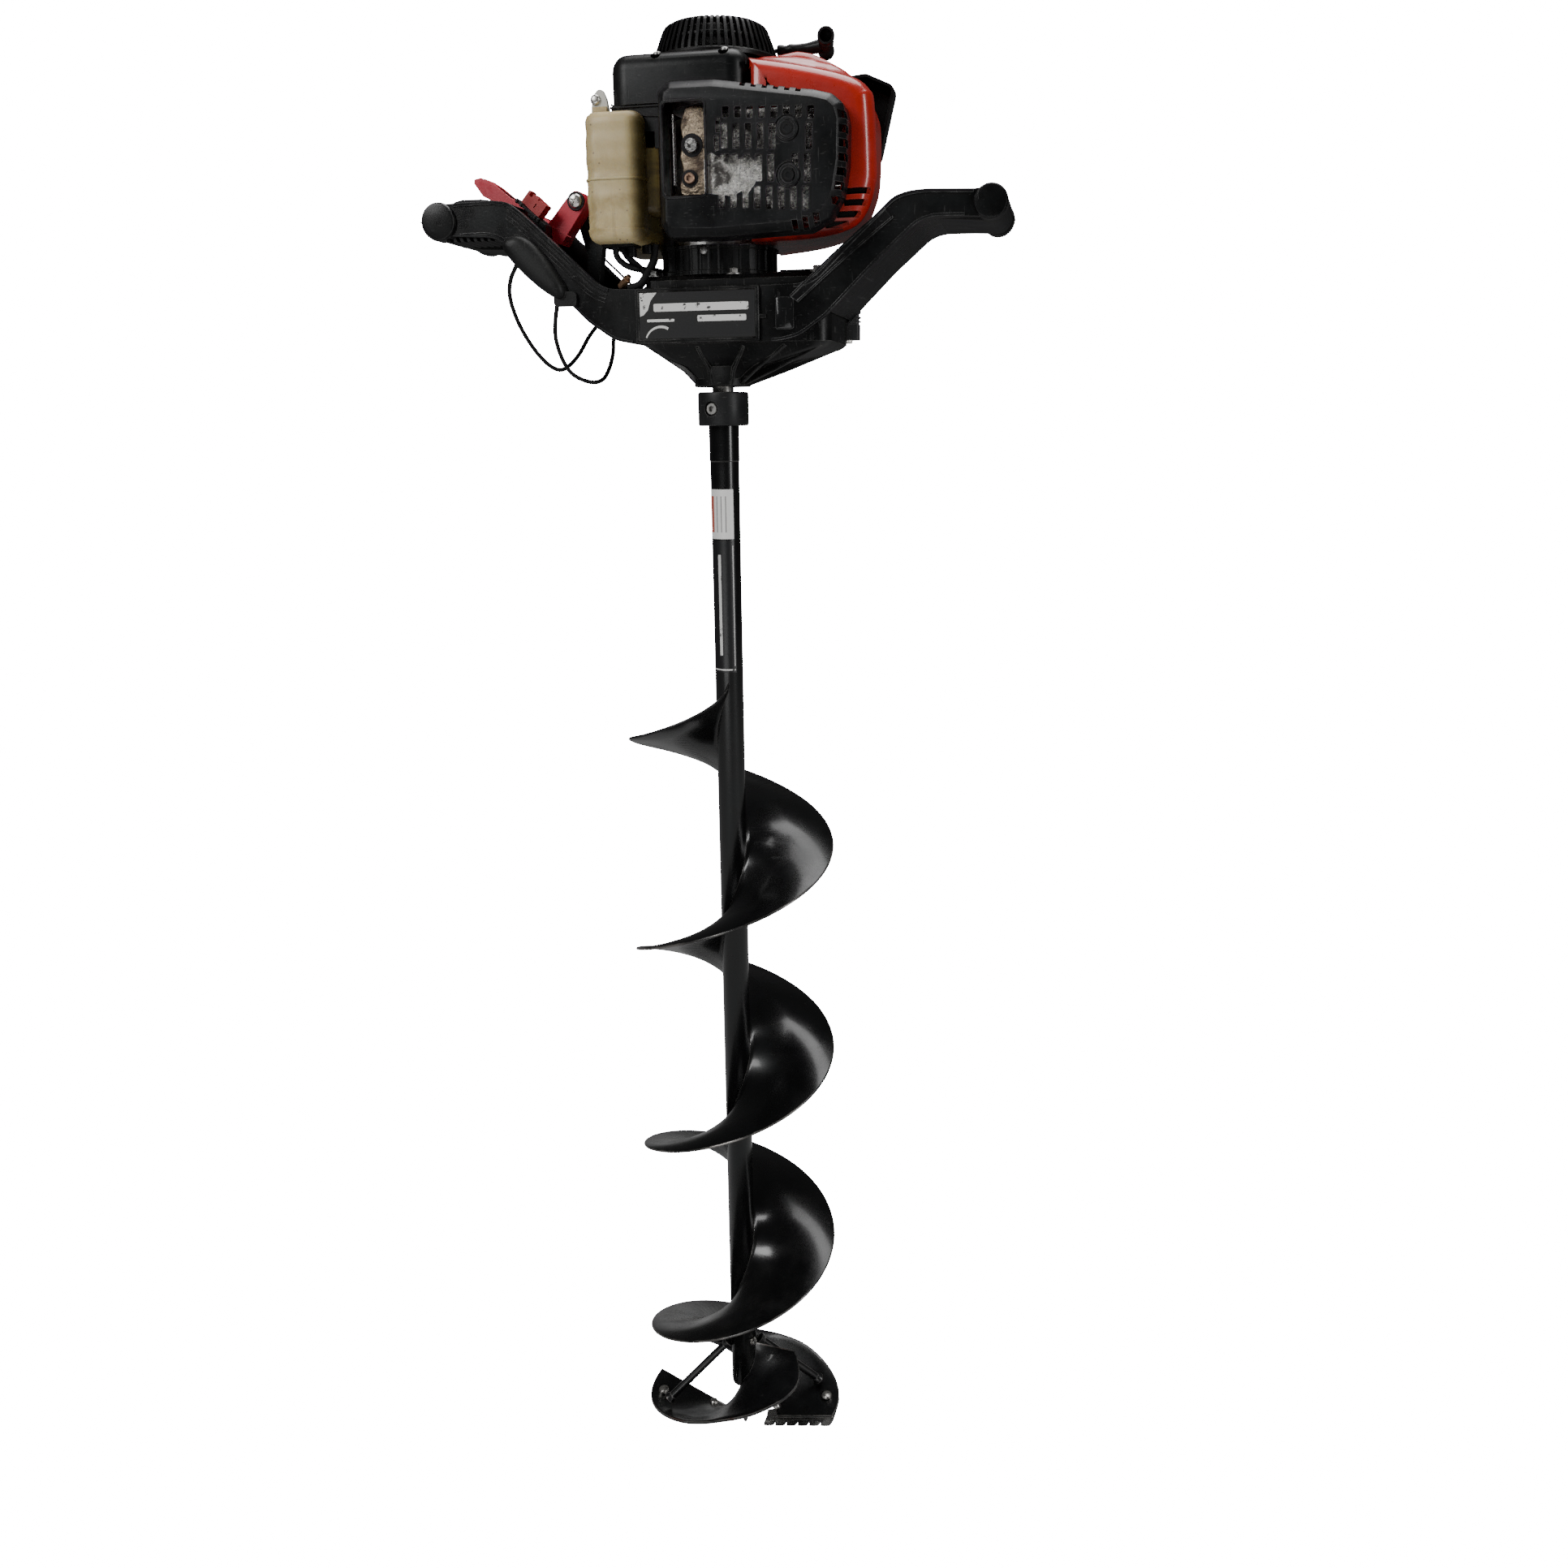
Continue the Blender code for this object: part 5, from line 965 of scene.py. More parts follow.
def arm_lines(side):
    """Lower and upper edges of an arm, drawn to the right; the left arm is the deeper one."""
    low = [(0.3, 1111.0), (62, 1111.0), (80, 1114.5), (103, 1130), (147, 1173), (178, 1199.5),
           (190, 1203), (215, 1202.5)]
    if side < 0:
        high = [(220, 1229.5), (184, 1230.0), (170, 1228.5)]
    else:
        high = [(222, 1222.5), (184, 1224.0), (170, 1223.0)]
    high += [(158, 1219.5), (125, 1190), (94, 1161), (82, 1156), (0.3, 1155)]
    return rounded_line(low, 16), rounded_line(high, 14)


def arms(plastic, grip_plastic, rim_highlight_plastic):
    """The two channel-section arms and their grips."""
    for name, side, room_x, front_end, (grip_x, grip_z, grip_r) in (
            ("left", -1, 62.5, 60.5, (233.5, 1215.0, 15.5)),
            ("right", 1, 106.0, 47.5, (235.5, 1212.5, 13.5))):
        def flip(points, side=side):
            return [(side * x, z) for x, z in points]

        low, high = arm_lines(side)
        bar = grip_r - 1.5
        body = Piece().prism(flip(low + arc(grip_x, grip_z, bar, -70, 70, 12) + high), "xz", -56, 56)
        floor = [(room_x, 1090)]
        if room_x < 80:
            floor += [(room_x, 1117), (80, 1120.5), (103, 1136.5)]
        else:
            floor += [(room_x, 1139.5)]
        floor += [(147, 1177.5), (166, 1194.5), (171, 1245)]
        body.cut(Piece().prism(flip([(-10, 1090)] + floor + [(-10, 1245)]), "xz", -51, 51))
        ends = sorted((-side * 10, side * front_end))
        body.cut(Piece().box((ends[0], -70, 1090), (ends[1], -45, 1170)))
        if side < 0:
            body.cut(Piece().prism(round_box(-221, -12, -160, 12, 4), "xy", 1209, 1250))
        obj = body.done(name + "_arm_shell", plastic, "powerhead", (name + "_arm",), bevel=1.3, smooth=30,
                        segments=3)
        obj.modifiers["edge"].harden_normals = False
        arm_trim(name, side, front_end, low, high, flip, rim_highlight_plastic)

        reach = grip_r + 0.3
        disc = [(reach - 3.3, -59.6), (reach - 1.2, -59.2), (reach - 0.3, -58.0), (reach, -56.0),
                (reach, -45.5),
                (reach - 0.7, -44.2), (reach - 3.8, -43.8)]
        centre = (side * grip_x, 0, grip_z)
        grip = Piece().lathe(disc, "y", centre, 64).lathe([(r, -h) for r, h in disc], "y", centre, 64)
        for k in range(26):
            angle = math.radians(-112 + k * 224 / 25)
            turn = Matrix.Rotation(-angle if side > 0 else math.pi + angle, 3, "Y")
            grip.box((reach - 0.6, 45.0, -0.55), (reach + 0.35, 55.5, 0.55), turn, centre)
        grip.box((reach - 0.3, -59.0, -0.45), (reach + 0.5, 59.0, 0.45),
                 Matrix.Rotation(math.pi * (side < 0), 3, "Y"),
                 centre)
        grip.done(name + "_grip_discs", plastic, "powerhead", smooth=35)
        bar_line = arc(grip_x, grip_z, bar + 0.7, -90, 90, 14)
        bar_line += [(196, high[0][1] + 0.4), (184, high[0][1] + 0.4), (184, 1203.4)]
        hold = Piece().prism(flip(bar_line), "xz", -43, 43)
        if side < 0:
            hold.cut(Piece().box((-221, -12, 1209), (-160, 12, 1250)))
        hold.done(name + "_grip_bar", grip_plastic, "powerhead", bevel=1.2)
    left_grip_pads(plastic, grip_plastic)


def arm_trim(name, side, front_end, low, high, flip, plastic):
    """Raised rims, scored lines and the right arm's ramp, on the outer walls."""
    trim = Piece()
    top_line = [p for p in high if p[0] > front_end + 22]
    low_line = [p for p in low if p[0] > front_end + 3]
    for y0, y1 in ((-57.1, -55.0), (55.0, 57.1)):
        trim.strip(flip(offset_line(top_line, 1.6)), 1.5, y0, y1)
        trim.strip(flip(offset_line(low_line, 1.3)), 1.2, y0, y1)
    if side < 0:
        for half, depth in ((0.9, 5.6), (0.5, 9.0), (0.42, 12.0)):
            run = [p for p in offset_line(top_line, depth) if 84 < p[0] < 172]
            trim.strip(flip(run), half, -56.9, -55.0)
    else:
        for (x0, z0), (x1, z1) in (((73, 1146), (151, 1211)), ((79, 1141.5), (158, 1204))):
            trim.strip(smooth_line([(x0, z0), ((x0 + x1) / 2, (z0 + z1) / 2 + 1.2), (x1, z1)], 6), 0.9,
                       -57.4, -55.0)
        ramp = [(72.4, 1146.0), (79.0, 1140.6), (157.0, 1203.5), (150.5, 1211.5)]
        trim.stack("xz", [(ramp, -55.5), (inset(ramp, 0.6), -56.6)])
        trim.stack("xz", [(round_box(60, 1120, 76, 1146, 2), -55.8),
                          (round_box(61, 1121, 75, 1145, 2), -56.5)])
    trim.done(name + "_arm_trim", plastic, "powerhead", bevel=0.35)


def left_grip_pads(plastic, grip_plastic):
    """Pads of the left grip."""
    under = Piece()
    slope = Matrix.Rotation(math.radians(-22), 3, "Y")
    for k in range(9):
        under.box((-1.5, -54.5, -4.4), (1.5, -16, 3.4), slope, (6.2 * k - 228, 0, 1202.3 + 0.02 * k))
    pad = [(-231, 1203.6), (-229, 1199.7), (-214, 1196.6), (-190, 1195.6), (-177, 1198.4), (-174, 1203.4)]
    under.prism(pad, "xz", -14, 40)
    under.strip(smooth_line([(-232, 1204.0), (-205, 1202.5), (-186, 1201.0), (-173, 1195.5)], 5), 0.8,
                -56.8, -53.5)
    under.done("left_finger_ribs", grip_plastic, "powerhead", bevel=0.5)
    top_pad = [(-222, 1228.3), (-220, 1231.0), (-213, 1232.4), (-196, 1232.2), (-180, 1229.9), (-177, 1227.5)]
    Piece().prism(top_pad, "xz", -53, -14).done("left_thumb_rest", grip_plastic, "powerhead", bevel=1.0)
    walls = Piece()
    for rise in (9.0, 17.5):
        walls.strip([(-76 - k * 6, 1132.5 + rise + k * 5.55) for k in range(10)], 0.9, 50.0, 51.3)
    walls.done("left_channel_ribs", plastic, "powerhead", bevel=0.3)


def throttle_cover(plastic):
    """A kidney-shaped swelling that leans along the arm and thins out at its lower end."""
    outline = [(-172, 1200), (-176, 1194), (-171, 1184), (-161, 1173), (-150, 1163), (-138, 1154),
               (-127, 1148.5),
               (-121.5, 1152), (-122, 1160), (-129, 1171), (-138, 1184), (-149, 1196), (-160, 1201.5)]
    around = [tuple(p) for p in smooth_line(outline + outline[:1], 4)[:-1]]
    middle = Vector((-148.0, 1175.5))
    along = Vector((-0.707, 0.707))

    def drawn_in(part):
        """The outline drawn in towards a spine, so that the swelling stays long."""
        loop = []
        for p in around:
            away = Vector(p) - middle
            run = away.dot(along)
            beyond = math.copysign(max(0.0, abs(run) - 22.0), run)
            loop.append(tuple(middle + along * (run - beyond) + (away - along * (run - beyond)) * part))
        return loop

    layers = [(1.0, -55.7), (1.0, -58.0), (0.97, -60.0), (0.90, -62.2), (0.78, -64.1), (0.6, -65.4),
              (0.35, -66.1),
              (0.1, -66.3)]
    cover = Piece().stack("xz", [(drawn_in(part), y) for part, y in layers])
    cover.prism(round_box(-132, 1143, -112, 1155, 3), "xz", -55.8, -59.5)
    cover.done("throttle_cover_shell", plastic, "powerhead", ("throttle_cover",), smooth=50)


def rear_clamp(casting, bolt_metal):
    """The clamp block at the rear, with its bolts."""
    clamp = Piece().prism(round_box(88, 56.5, 112, 68, 2), "xy", 1117, 1156)
    clamp.prism(round_box(87.0, 56.3, 113.0, 69.4, 1.5), "xy", 1139.5, 1156.6)
    for z in (1132.0, 1135.4):
        clamp.prism(round_box(86.4, 56.2, 113.6, 69.0, 2), "xy", z, z + 1.6)
    clamp.prism(round_box(94, 56.4, 112.6, 70.5, 2), "xy", 1116.8, 1130.5)
    clamp.prism(round_box(84, 44, 93.5, 56.3, 1.5), "xy", 1117, 1131)
    clamp.done("rear_clamp_block", casting, "powerhead", ("rear_clamp",), bevel=0.5)
    bolt = Piece()
    bolt.screw((89, 43.8, 1123), (0, -1, 0), 5.2, 3.2, "plain")
    bolt.screw((102, 62.5, 1117.0), (0, 0, -1), 4.6, 3.0, "hex")
    bolt.done("rear_clamp_bolts", bolt_metal, "powerhead")


# ---------------------------------------------------------------- controls

def controls(paddle_red, switch_red, black, bolt_metal):
    """The throttle lever and the stop switch."""
    px, pz = LEVER_PIVOT
    outline = [(-219.0, 1255.5), (-219.5, 1252.0), (-212.0, 1241.5), (-200.0, 1235.0), (-183.0, 1227.5),
               (-152.0, 1201.5),
               (-141.0, 1198.5)]
    outline += arc(px, pz, 8.6, -40, 150, 18)
    outline += [(-152.0, 1217.0), (-172.0, 1232.0), (-186.0, 1239.0), (-199.0, 1249.5), (-207.5, 1255.0),
                (-213.0, 1256.5)]
    lever = Piece().prism(outline, "xz", -10, 10)
    slope = Matrix.Rotation(math.radians(40.0), 3, "Y")
    recess_at = (-193.0, 0, 1245.0)
    lever.cut(Piece().box((-8, -6.5, -2.2), (9, 6.5, 8.0), slope, recess_at))
    lever.cut(Piece().rod((px, -20, pz), (px, 20, pz), 4.6, 28, 0.0))
    lever.done("throttle_lever_body", paddle_red, "throttle", ("throttle_lever",), bevel=1.1, smooth=40,
               segments=3)
    marks = Piece()
    marks.strip([(-151.5, 1215.5), (-138.0, 1207.5), (-131.5, 1204.5)], 0.3, -10.25, -9.8)
    for k in range(4):
        marks.box((-6.5 + k * 3.8, -6.0, -2.6), (-5.1 + k * 3.8, 6.0, -1.3), slope, recess_at)
    marks.done("throttle_lever_marks", paddle_red, "throttle")
    Piece().lathe([(7.6, -10.2), (7.9, -11.0), (7.4, -12.2)], "y", (px, 0, pz), 40).done("lever_washer",
        black,
                                                                                       "powerhead")
    screw = Piece().screw((px, -11.9, pz), (0, -1, 0), 6.0, 3.2, "plain")
    for turn in (0.5, 0.5 + math.pi / 2):
        screw.cut(Piece().box((-0.6, -1.6, -3.4), (0.6, 3.0, 3.4), Matrix.Rotation(turn, 3, "Y"),
                              (px, -15.6, pz)))
    screw.done("lever_screw", bolt_metal, "powerhead", smooth=25)
    paint(black, "lever_post", bevel=1.0)

    at = Vector((-157.5, -22, 1230.5))
    turn = Matrix.Rotation(math.radians(42), 3, "Y")
    rocker = Piece().box((-10, -6.5, -6.0), (10, 6.5, 6.0), turn, at)
    rocker.cut(Piece().box((-7.6, -8, 2.6), (-4.6, 8, 9), turn, at))
    rocker.cut(Piece().box((1.2, -8, 4.4), (2.4, 8, 9), turn, at))
    rocker.cut(Piece().box((1.5, -8, -2.6), (7.5, -5.7, 1.4), turn, at))
    rocker.done("stop_switch_rocker", switch_red, "switch", ("stop_switch",), bevel=1.0, smooth=40)
    base = [(-163.0, 1192.4), (-147.3, 1178.3), (-147.3, 1212.8), (-163.0, 1226.9)]
    foot = Piece().prism(base, "xz", -30, -14)
    foot.box((-14.5, -8.6, -9.0), (12.5, 8.6, -6.6), turn, at)
    for step in (-13.5, -8.5, 7.5, 11.0):
        foot.box((step, -9.4, -9.6), (step + 2.2, -6.0, -5.8), turn, at)
    foot.done("stop_switch_base", black, "powerhead", ("switch_base",), bevel=0.6)


# ---------------------------------------------------------------- fan housing and starter

def shroud(plastic, bolt_metal):
    """The fan shroud."""
    outer = round_box(-73.5, -68, 40.8, 68, 16, 10)
    inlet = circle_like(outer, 38)
    rounding = ((0.0, 1295.5), (0.0, 1321.5), (0.45, 1325.0), (1.6, 1328.0), (3.2, 1330.4), (5.5, 1332.4),
                (8.0, 1333.7),
                (11.0, 1334.5))
    under = ((12.0, 1332.0), (4.5, 1326.5), (2.5, 1321.5), (2.5, 1295.5))
    shell = Piece().skin([level(inset(outer, d) if d else outer, z) for d, z in rounding]
                         + [level(inlet, 1334.5), level(inlet, 1332.0)]
                         + [level(inset(outer, d), z) for d, z in under], closed=True)
    for x, y in ((-34, -68), (22, -68), (-34, 68)):
        inward = -1 if y > 0 else 1
        shell.cut(Piece().turned_along((x, y, 1338), (0, 0.75 * inward, -1), [(4.2, 0), (4.2, 17)], 28))
    shell.done("fan_shroud_shell", plastic, "powerhead", ("fan_shroud",), smooth=40)
    skirt = Piece()
    skirt.box((-72.0, -66.0, 1262.0), (-27.0, -63.6, 1295.2))
    skirt.strip([(-73, 1294), (-27, 1294)], 0.9, -67.4, -63.8)
    skirt.strip([(-72, 1296.5), (-60, 1290), (-42, 1286.5), (-27, 1286)], 0.7, -67.2, -63.8)
    skirt.done("fan_shroud_skirt", plastic, "powerhead", bevel=0.6)
    screws = Piece()
    for x, y in ((-34, -58), (22, -58), (-34, 58)):
        screws.screw((x, y, 1332.8), (0, 0, 1), 3.3, 2.2, "socket")
    screws.done("shroud_screws", bolt_metal, "powerhead")


def starter(plastic, dark, rope_material):
    """The starter housing with its slats, and the rope."""
    base, top = 1335.0, 1366.5
    slats = Piece()
    slats.ring([(49.4, base), (52, base), (52.3, base + 1), (52.3, base + 3.0), (51.6, base + 4.2),
                (49.2, base + 4.2)],
               segments=96)
    slats.ring([(25.0, top - 2.6), (30.0, top - 2.8), (31.5, top - 1.6), (30.6, top - 0.5), (27.0, top),
                (25.0, top)],
               segments=96)
    slats.lathe([(25.4, top - 2.2), (25.4, top - 0.6), (24.6, top - 0.4), (20.0, top - 0.4),
                 (19.0, top - 1.2),
                 (6.0, top - 1.2)], segments=64)
    slat = [(50.4, base + 3.6), (51.9, base + 3.8), (50.4, base + 9.6), (44.2, top - 6.3), (42.4, top - 3.9),
            (38.6, top - 1.9), (34.0, top - 0.9), (30.0, top - 0.6), (30.0, top - 3.4), (37.0, top - 4.6),
            (41.4, top - 8.0), (47.4, base + 9.2)]
    for k in range(SLATS):
        bearing = 360.0 * (k + 0.5) / SLATS
        if ROPE_WALL[0] + 1.0 < bearing < ROPE_WALL[1] - 1.0:
            continue
        turn = Matrix.Rotation(math.radians(bearing), 3, "Z")
        slats.skin([[turn @ Vector((r, s, z)) for r, z in slat] for s in (-1.15, 1.15)])
    slats.ring([(43.2, 1353.0), (45.2, 1352.0), (45.2, 1350.6), (43.2, 1350.6)], segments=96)
    slats.done("starter_slats", plastic, "powerhead", smooth=30)
    wall = Piece()
    loops = []
    for i in range(13):
        angle = math.radians(ROPE_WALL[0] + (ROPE_WALL[1] - ROPE_WALL[0]) * i / 12)
        section = [(49.6, base + 4), (51.8, base + 4), (50.1, base + 9.8), (43.6, top - 6.6),
                   (38.5, top - 2.4),
                   (30.4, top - 1.6), (30.4, top - 3.8), (47.0, base + 9)]
        loops.append([(r * math.cos(angle), r * math.sin(angle), z) for r, z in section])
    wall.skin(loops)
    wall.cut(Piece().rod((22, 24.8, 1350), (60, 24.8, 1350), 2.6, 20, 0.0))
    wall.done("starter_rope_wall", plastic, "powerhead", smooth=35)
    liner = Piece()
    liner.ring([(46.0, base + 6.5), (46.8, base + 6.5), (40.0, top - 8.8), (29.6, top - 4.6),
                (28.6, top - 5.2),
                (39.2, top - 9.6)], segments=64)
    liner.lathe([(6, base + 2), (6, top - 2.4), (4, top - 2.2)], segments=28)
    liner.done("starter_liner", dark, "powerhead", ("starter_housing",), smooth=40)
    badge = Piece().lathe([(17.5, top - 1.3), (17.5, top - 0.5), (16.8, top - 0.3), (1.0, top - 0.3)],
                          segments=48)
    badge.done("starter_cap_disc", dark, "powerhead")
    paint(dark, "starter_pulley", bevel=0.3)

    rope = Piece()
    for strand in range(3):
        twist = strand * TAU / 3
        line = [(2 + 45.7 * k / 60, 24.8 + 0.85 * math.cos(k * 0.42 + twist), 1350
                 + 0.85 * math.sin(k * 0.42 + twist))
                for k in range(61)]
        rope.tube(line, 1.05, 10)
    rope.done("starter_rope_lay", rope_material, "starter_pull", ("starter_rope",), smooth=60)
    pull_grip(plastic)


def pull_grip(plastic):
    """Cross tube of the pull handle, swollen at both ends, on a ribbed stem."""
    front, rear = Vector((95.5, -10, 1351.0)), Vector((83.5, 60, 1355.5))
    along = (rear - front).normalized()
    length = (rear - front).length
    handle = Piece().turned_along(front, along, [
        (5.1, 0.6), (5.4, 0.0), (6.6, 0.2), (7.2, 1.4), (7.2, 5.0), (6.4, 7.5), (6.2, 20), (6.6, 34),
        (6.2, 50),
        (6.5, length - 7), (7.2, length - 4.4), (7.2, length - 1.6), (6.4, length - 0.2), (2.0, length)], 36)
    handle.cut(Piece().rod(front - along * 2, front + along * 14, 5.0, 28, 0.0))
    stem = smooth_line([(48.0, 24.8, 1350), (58, 24.8, 1350), (68, 24.8, 1350.2), (78, 24.8, 1350.8),
                        (87, 24.8, 1351.8)], 5)
    radii = [4.3 + 0.5 * math.sin(k * 1.3) * (k < 8) + 1.6 * max(0, k - 12) / 8 for k in range(len(stem))]
    handle.tube(stem, radii, 22)
    handle.done("pull_grip", plastic, "starter_pull", ("pull_handle",), smooth=40)


# ---------------------------------------------------------------- covers

def red_cover(red, dark):
    """Red shell: its front outline is wider than its rear one, and a crest runs along the top."""
    front = [(41.2, 1327), (62, 1323.5), (85, 1319), (112, 1312.5), (129, 1306.5), (138, 1299),
             (142, 1289), (144.5, 1243),
             (143.5, 1228), (137, 1209), (124, 1196.5), (92, 1190), (41.2, 1189)]
    rear = [(41.2, 1334.6), (62, 1334.6), (85, 1331), (106, 1325), (121, 1314), (129, 1300),
            (131.5, 1284), (131, 1247),
            (127, 1229), (119, 1213), (105, 1202.5), (80, 1195.5), (41.2, 1191)]

    def blend(part, depth=0.0):
        line = [(a[0] + (b[0] - a[0]) * part, a[1] + (b[1] - a[1]) * part) for a, b in zip(front, rear)]
        line = inset(line, depth)
        if depth < 10.0:
            return [tuple(p) for p in smooth_line(line, 4)]
        straight = []
        for a, b in zip(line, line[1:]):
            straight += [(a[0] + (b[0] - a[0]) * k / 4, a[1] + (b[1] - a[1]) * k / 4) for k in range(4)]
        return straight + [line[-1]]

    def loop(y, part, depth):
        return [(x, y, z) for x, z in blend(part, depth)]

    outside = [(-67.6, 0, 24), (-70, 0, 24), (-70, 0, 12.5), (-69.6, 0, 9.6), (-68.6, 0, 7.0),
               (-67.1, 0, 4.8),
               (-65.0, 0, 3.0), (-62.7, 0, 1.7), (-60.0, 0, 0.8), (-57, 0, 0.2), (-54, 0, 0),
               (-45, 0.12, 0), (-34, 0.35, 0), (-30, 0.66, 0), (-26, 0.93, 0), (-22, 1, 0), (63, 1, 0),
               (66.0, 1, 0.5),
               (68.2, 1, 1.8), (69.5, 1, 3.6), (70, 1, 6.0), (70, 1, 13)]
    inside = [(67.6, 1, 13), (67.6, 1, 7), (63, 1, 2.5), (-25, 1, 2.5), (-33.5, 0.35, 2.5),
              (-53.5, 0, 2.5), (-59.0, 0, 3.3),
              (-63.2, 0, 5.3), (-66.4, 0, 8.6), (-67.6, 0, 13)]
    shell = Piece().skin([loop(*row) for row in outside + inside], closed=True)
    shell.cut(Piece().box((30, -66, 1197.5), (60, 66, 1318)))
    shell.cut(Piece().rod((66, -80, CYL_Z), (66, -60, CYL_Z), 11.5, 28, 0.0))
    for x, z in RED_SLOTS:
        shell.cut(Piece().box((-9.5, -75, -2.4), (9.5, -62, 2.4),
                              Matrix.Rotation(math.radians(-2), 3, "Y"), (x, 0, z)))
    shell.done("red_cover_shell", red, "powerhead", ("red_cover",), smooth=40)
    lines = Piece()
    # dark boxes behind the four slots are a painted shade sheet; the thin box at x 41 is the dark seam at the
    # joint with the shroud
    for x, z in RED_SLOTS:
        lines.box((x - 10.5, -61.6, z - 3.6), (x + 4.0, -60.8, z + 3.6))
    lines.box((40.9, -67.0, 1320.0), (41.6, 67.0, 1325.0))
    lines.done("red_cover_seam_and_slot_shade", dark, "powerhead")
    line = [p for p in blend(1.0) if 52 < p[0] < 108 and p[1] > 1300]
    loops = []
    for i, (x, z) in enumerate(line):
        rise = 4.8 * min(1.0, i / 3.0, (len(line) - 1 - i) / 4.0)
        loops.append([(x, -24, z - 1.2), (x, -22.5, z + rise * 0.6), (x, -19.5, z + rise), (x, 26, z + rise),
                      (x, 28.5, z + rise * 0.6), (x, 30, z - 1.2)])
    Piece().skin(loops).done("red_cover_crest", red, "powerhead", smooth=50)


def muffler_guard(plastic, bolt_metal):
    """Heat guard: a deep tray with a window, rows of slots, a melted hole and vents round its edge."""
    outline = [(-24, 1297), (-15, 1304.5), (22, 1304), (101, 1292.5), (115, 1289), (123.5, 1282),
               (126.5, 1270), (126, 1240),
               (122, 1216.5), (112.5, 1200), (96, 1191.5), (22, 1188.5), (-18, 1189.5), (-24.5, 1199)]

    def loop(y, depth):
        return [(x, y, z) for x, z in rounded(inset(outline, depth), 7.0 - 0.6 * depth, 4)]

    shell = Piece().skin([loop(-100.8, 8.0), loop(-94.0, 2.2), loop(-70.8, 2.2), loop(-70.8, 0),
                          loop(-94.2, 0),
                          loop(-96.2, 0.7), loop(-101.6, 5.2), loop(-102.8, 6.6), loop(-103, 8.0)])
    shell.cut(Piece().prism(round_box(-19, 1219, 15.5, 1288, 4, 5), "xz", -115, -90))
    slots = Piece()
    for row, (low, high) in enumerate(((1274.5, 1282.5), (1252.5, 1270.5), (1229, 1248.5), (1209, 1225))):
        for k in range(8):
            x = 30 + k * 9.6 - row * 1.5
            if (row, k) in ((1, 5), (1, 6), (2, 5)):
                continue
            foot = low + 3 if (row, k) == (0, 5) else low
            fall = 0.1 * (x - 30)
            slots.prism(round_box(x, foot - fall * 0.6, x + 5.2, high - fall * 0.4, 1.0, 3), "xz", -115, -96)
    for k in (0, 1):
        slots.prism(round_box(24.5 - k * 1.5, 1264 - 13 * k, 28.2 - k * 1.5, 1275 - 13 * k, 1.0, 3), "xz",
                    -115, -96)
    shell.cut(slots)
    torn = [(14.5, 1247.6), (20.5, 1250.2), (27.0, 1246.4), (33.5, 1248.8), (41.0, 1244.6),
            (50.0, 1246.0), (58.8, 1240.2),
            (57.0, 1232.6), (55.5, 1226.0), (50.0, 1219.6), (44.0, 1221.0), (38.0, 1217.4),
            (27.5, 1218.9), (14.5, 1220.8)]
    shell.cut(Piece().prism(torn, "xz", -115, -95))
    side = Piece()
    for k in range(7):
        side.box((115.2, -101.4, 1270.5 - k * 10.2), (130, -86.0, 1276.3 - k * 10.2))
    for k in range(3):
        side.box((84 + k * 8.5, -103.5, 1189.0 + k * 1.8), (88.5 + k * 8.5, -92.0, 1198.5 + k * 2.2))
    for k in range(6):
        x = 43 + k * 8.8
        side.box((x, -99.5, 1297.2 - 0.146 * (x - 31)), (x + 4.2, -90.0, 1304.6 - 0.146 * (x - 31)))
    shell.cut(side)
    for x, z in GUARD_SCREWS:
        shell.cut(Piece().ring([(8.6, -104.5), (10.0, -104.5), (10.0, -101.7), (8.6, -101.7)], "y",
                               (x, 0, z), 36))
        shell.lathe([(8.4, -100.5), (8.4, -103.0), (7.6, -103.9), (6.0, -103.9), (5.6, -102.2),
                     (1.0, -102.2)], "y",
                    (x, 0, z), 36)
    shell.done("muffler_guard_shell", plastic, "powerhead", ("muffler_cover",), bevel=0.25, smooth=32)
    rim = round_box(-20.4, 1217.6, 16.8, 1289.4, 4.8, 5)
    inner_rim = inset(rim, 1.7)
    lip = Piece().skin([[(x, y, z) for x, z in shape] for shape, y in (
        (rim, -102.6), (rim, -103.8), (inner_rim, -103.8), (inner_rim, -102.6))], closed=True)
    lip.done("muffler_guard_lip", plastic, "powerhead", bevel=0.25)
    bolts = Piece()
    for x, z in GUARD_SCREWS:
        bolts.screw((x, -101.8, z), (0, -1, 0), 4.7, 1.6, "socket")
    bolts.done("muffler_guard_screws", bolt_metal, "powerhead")


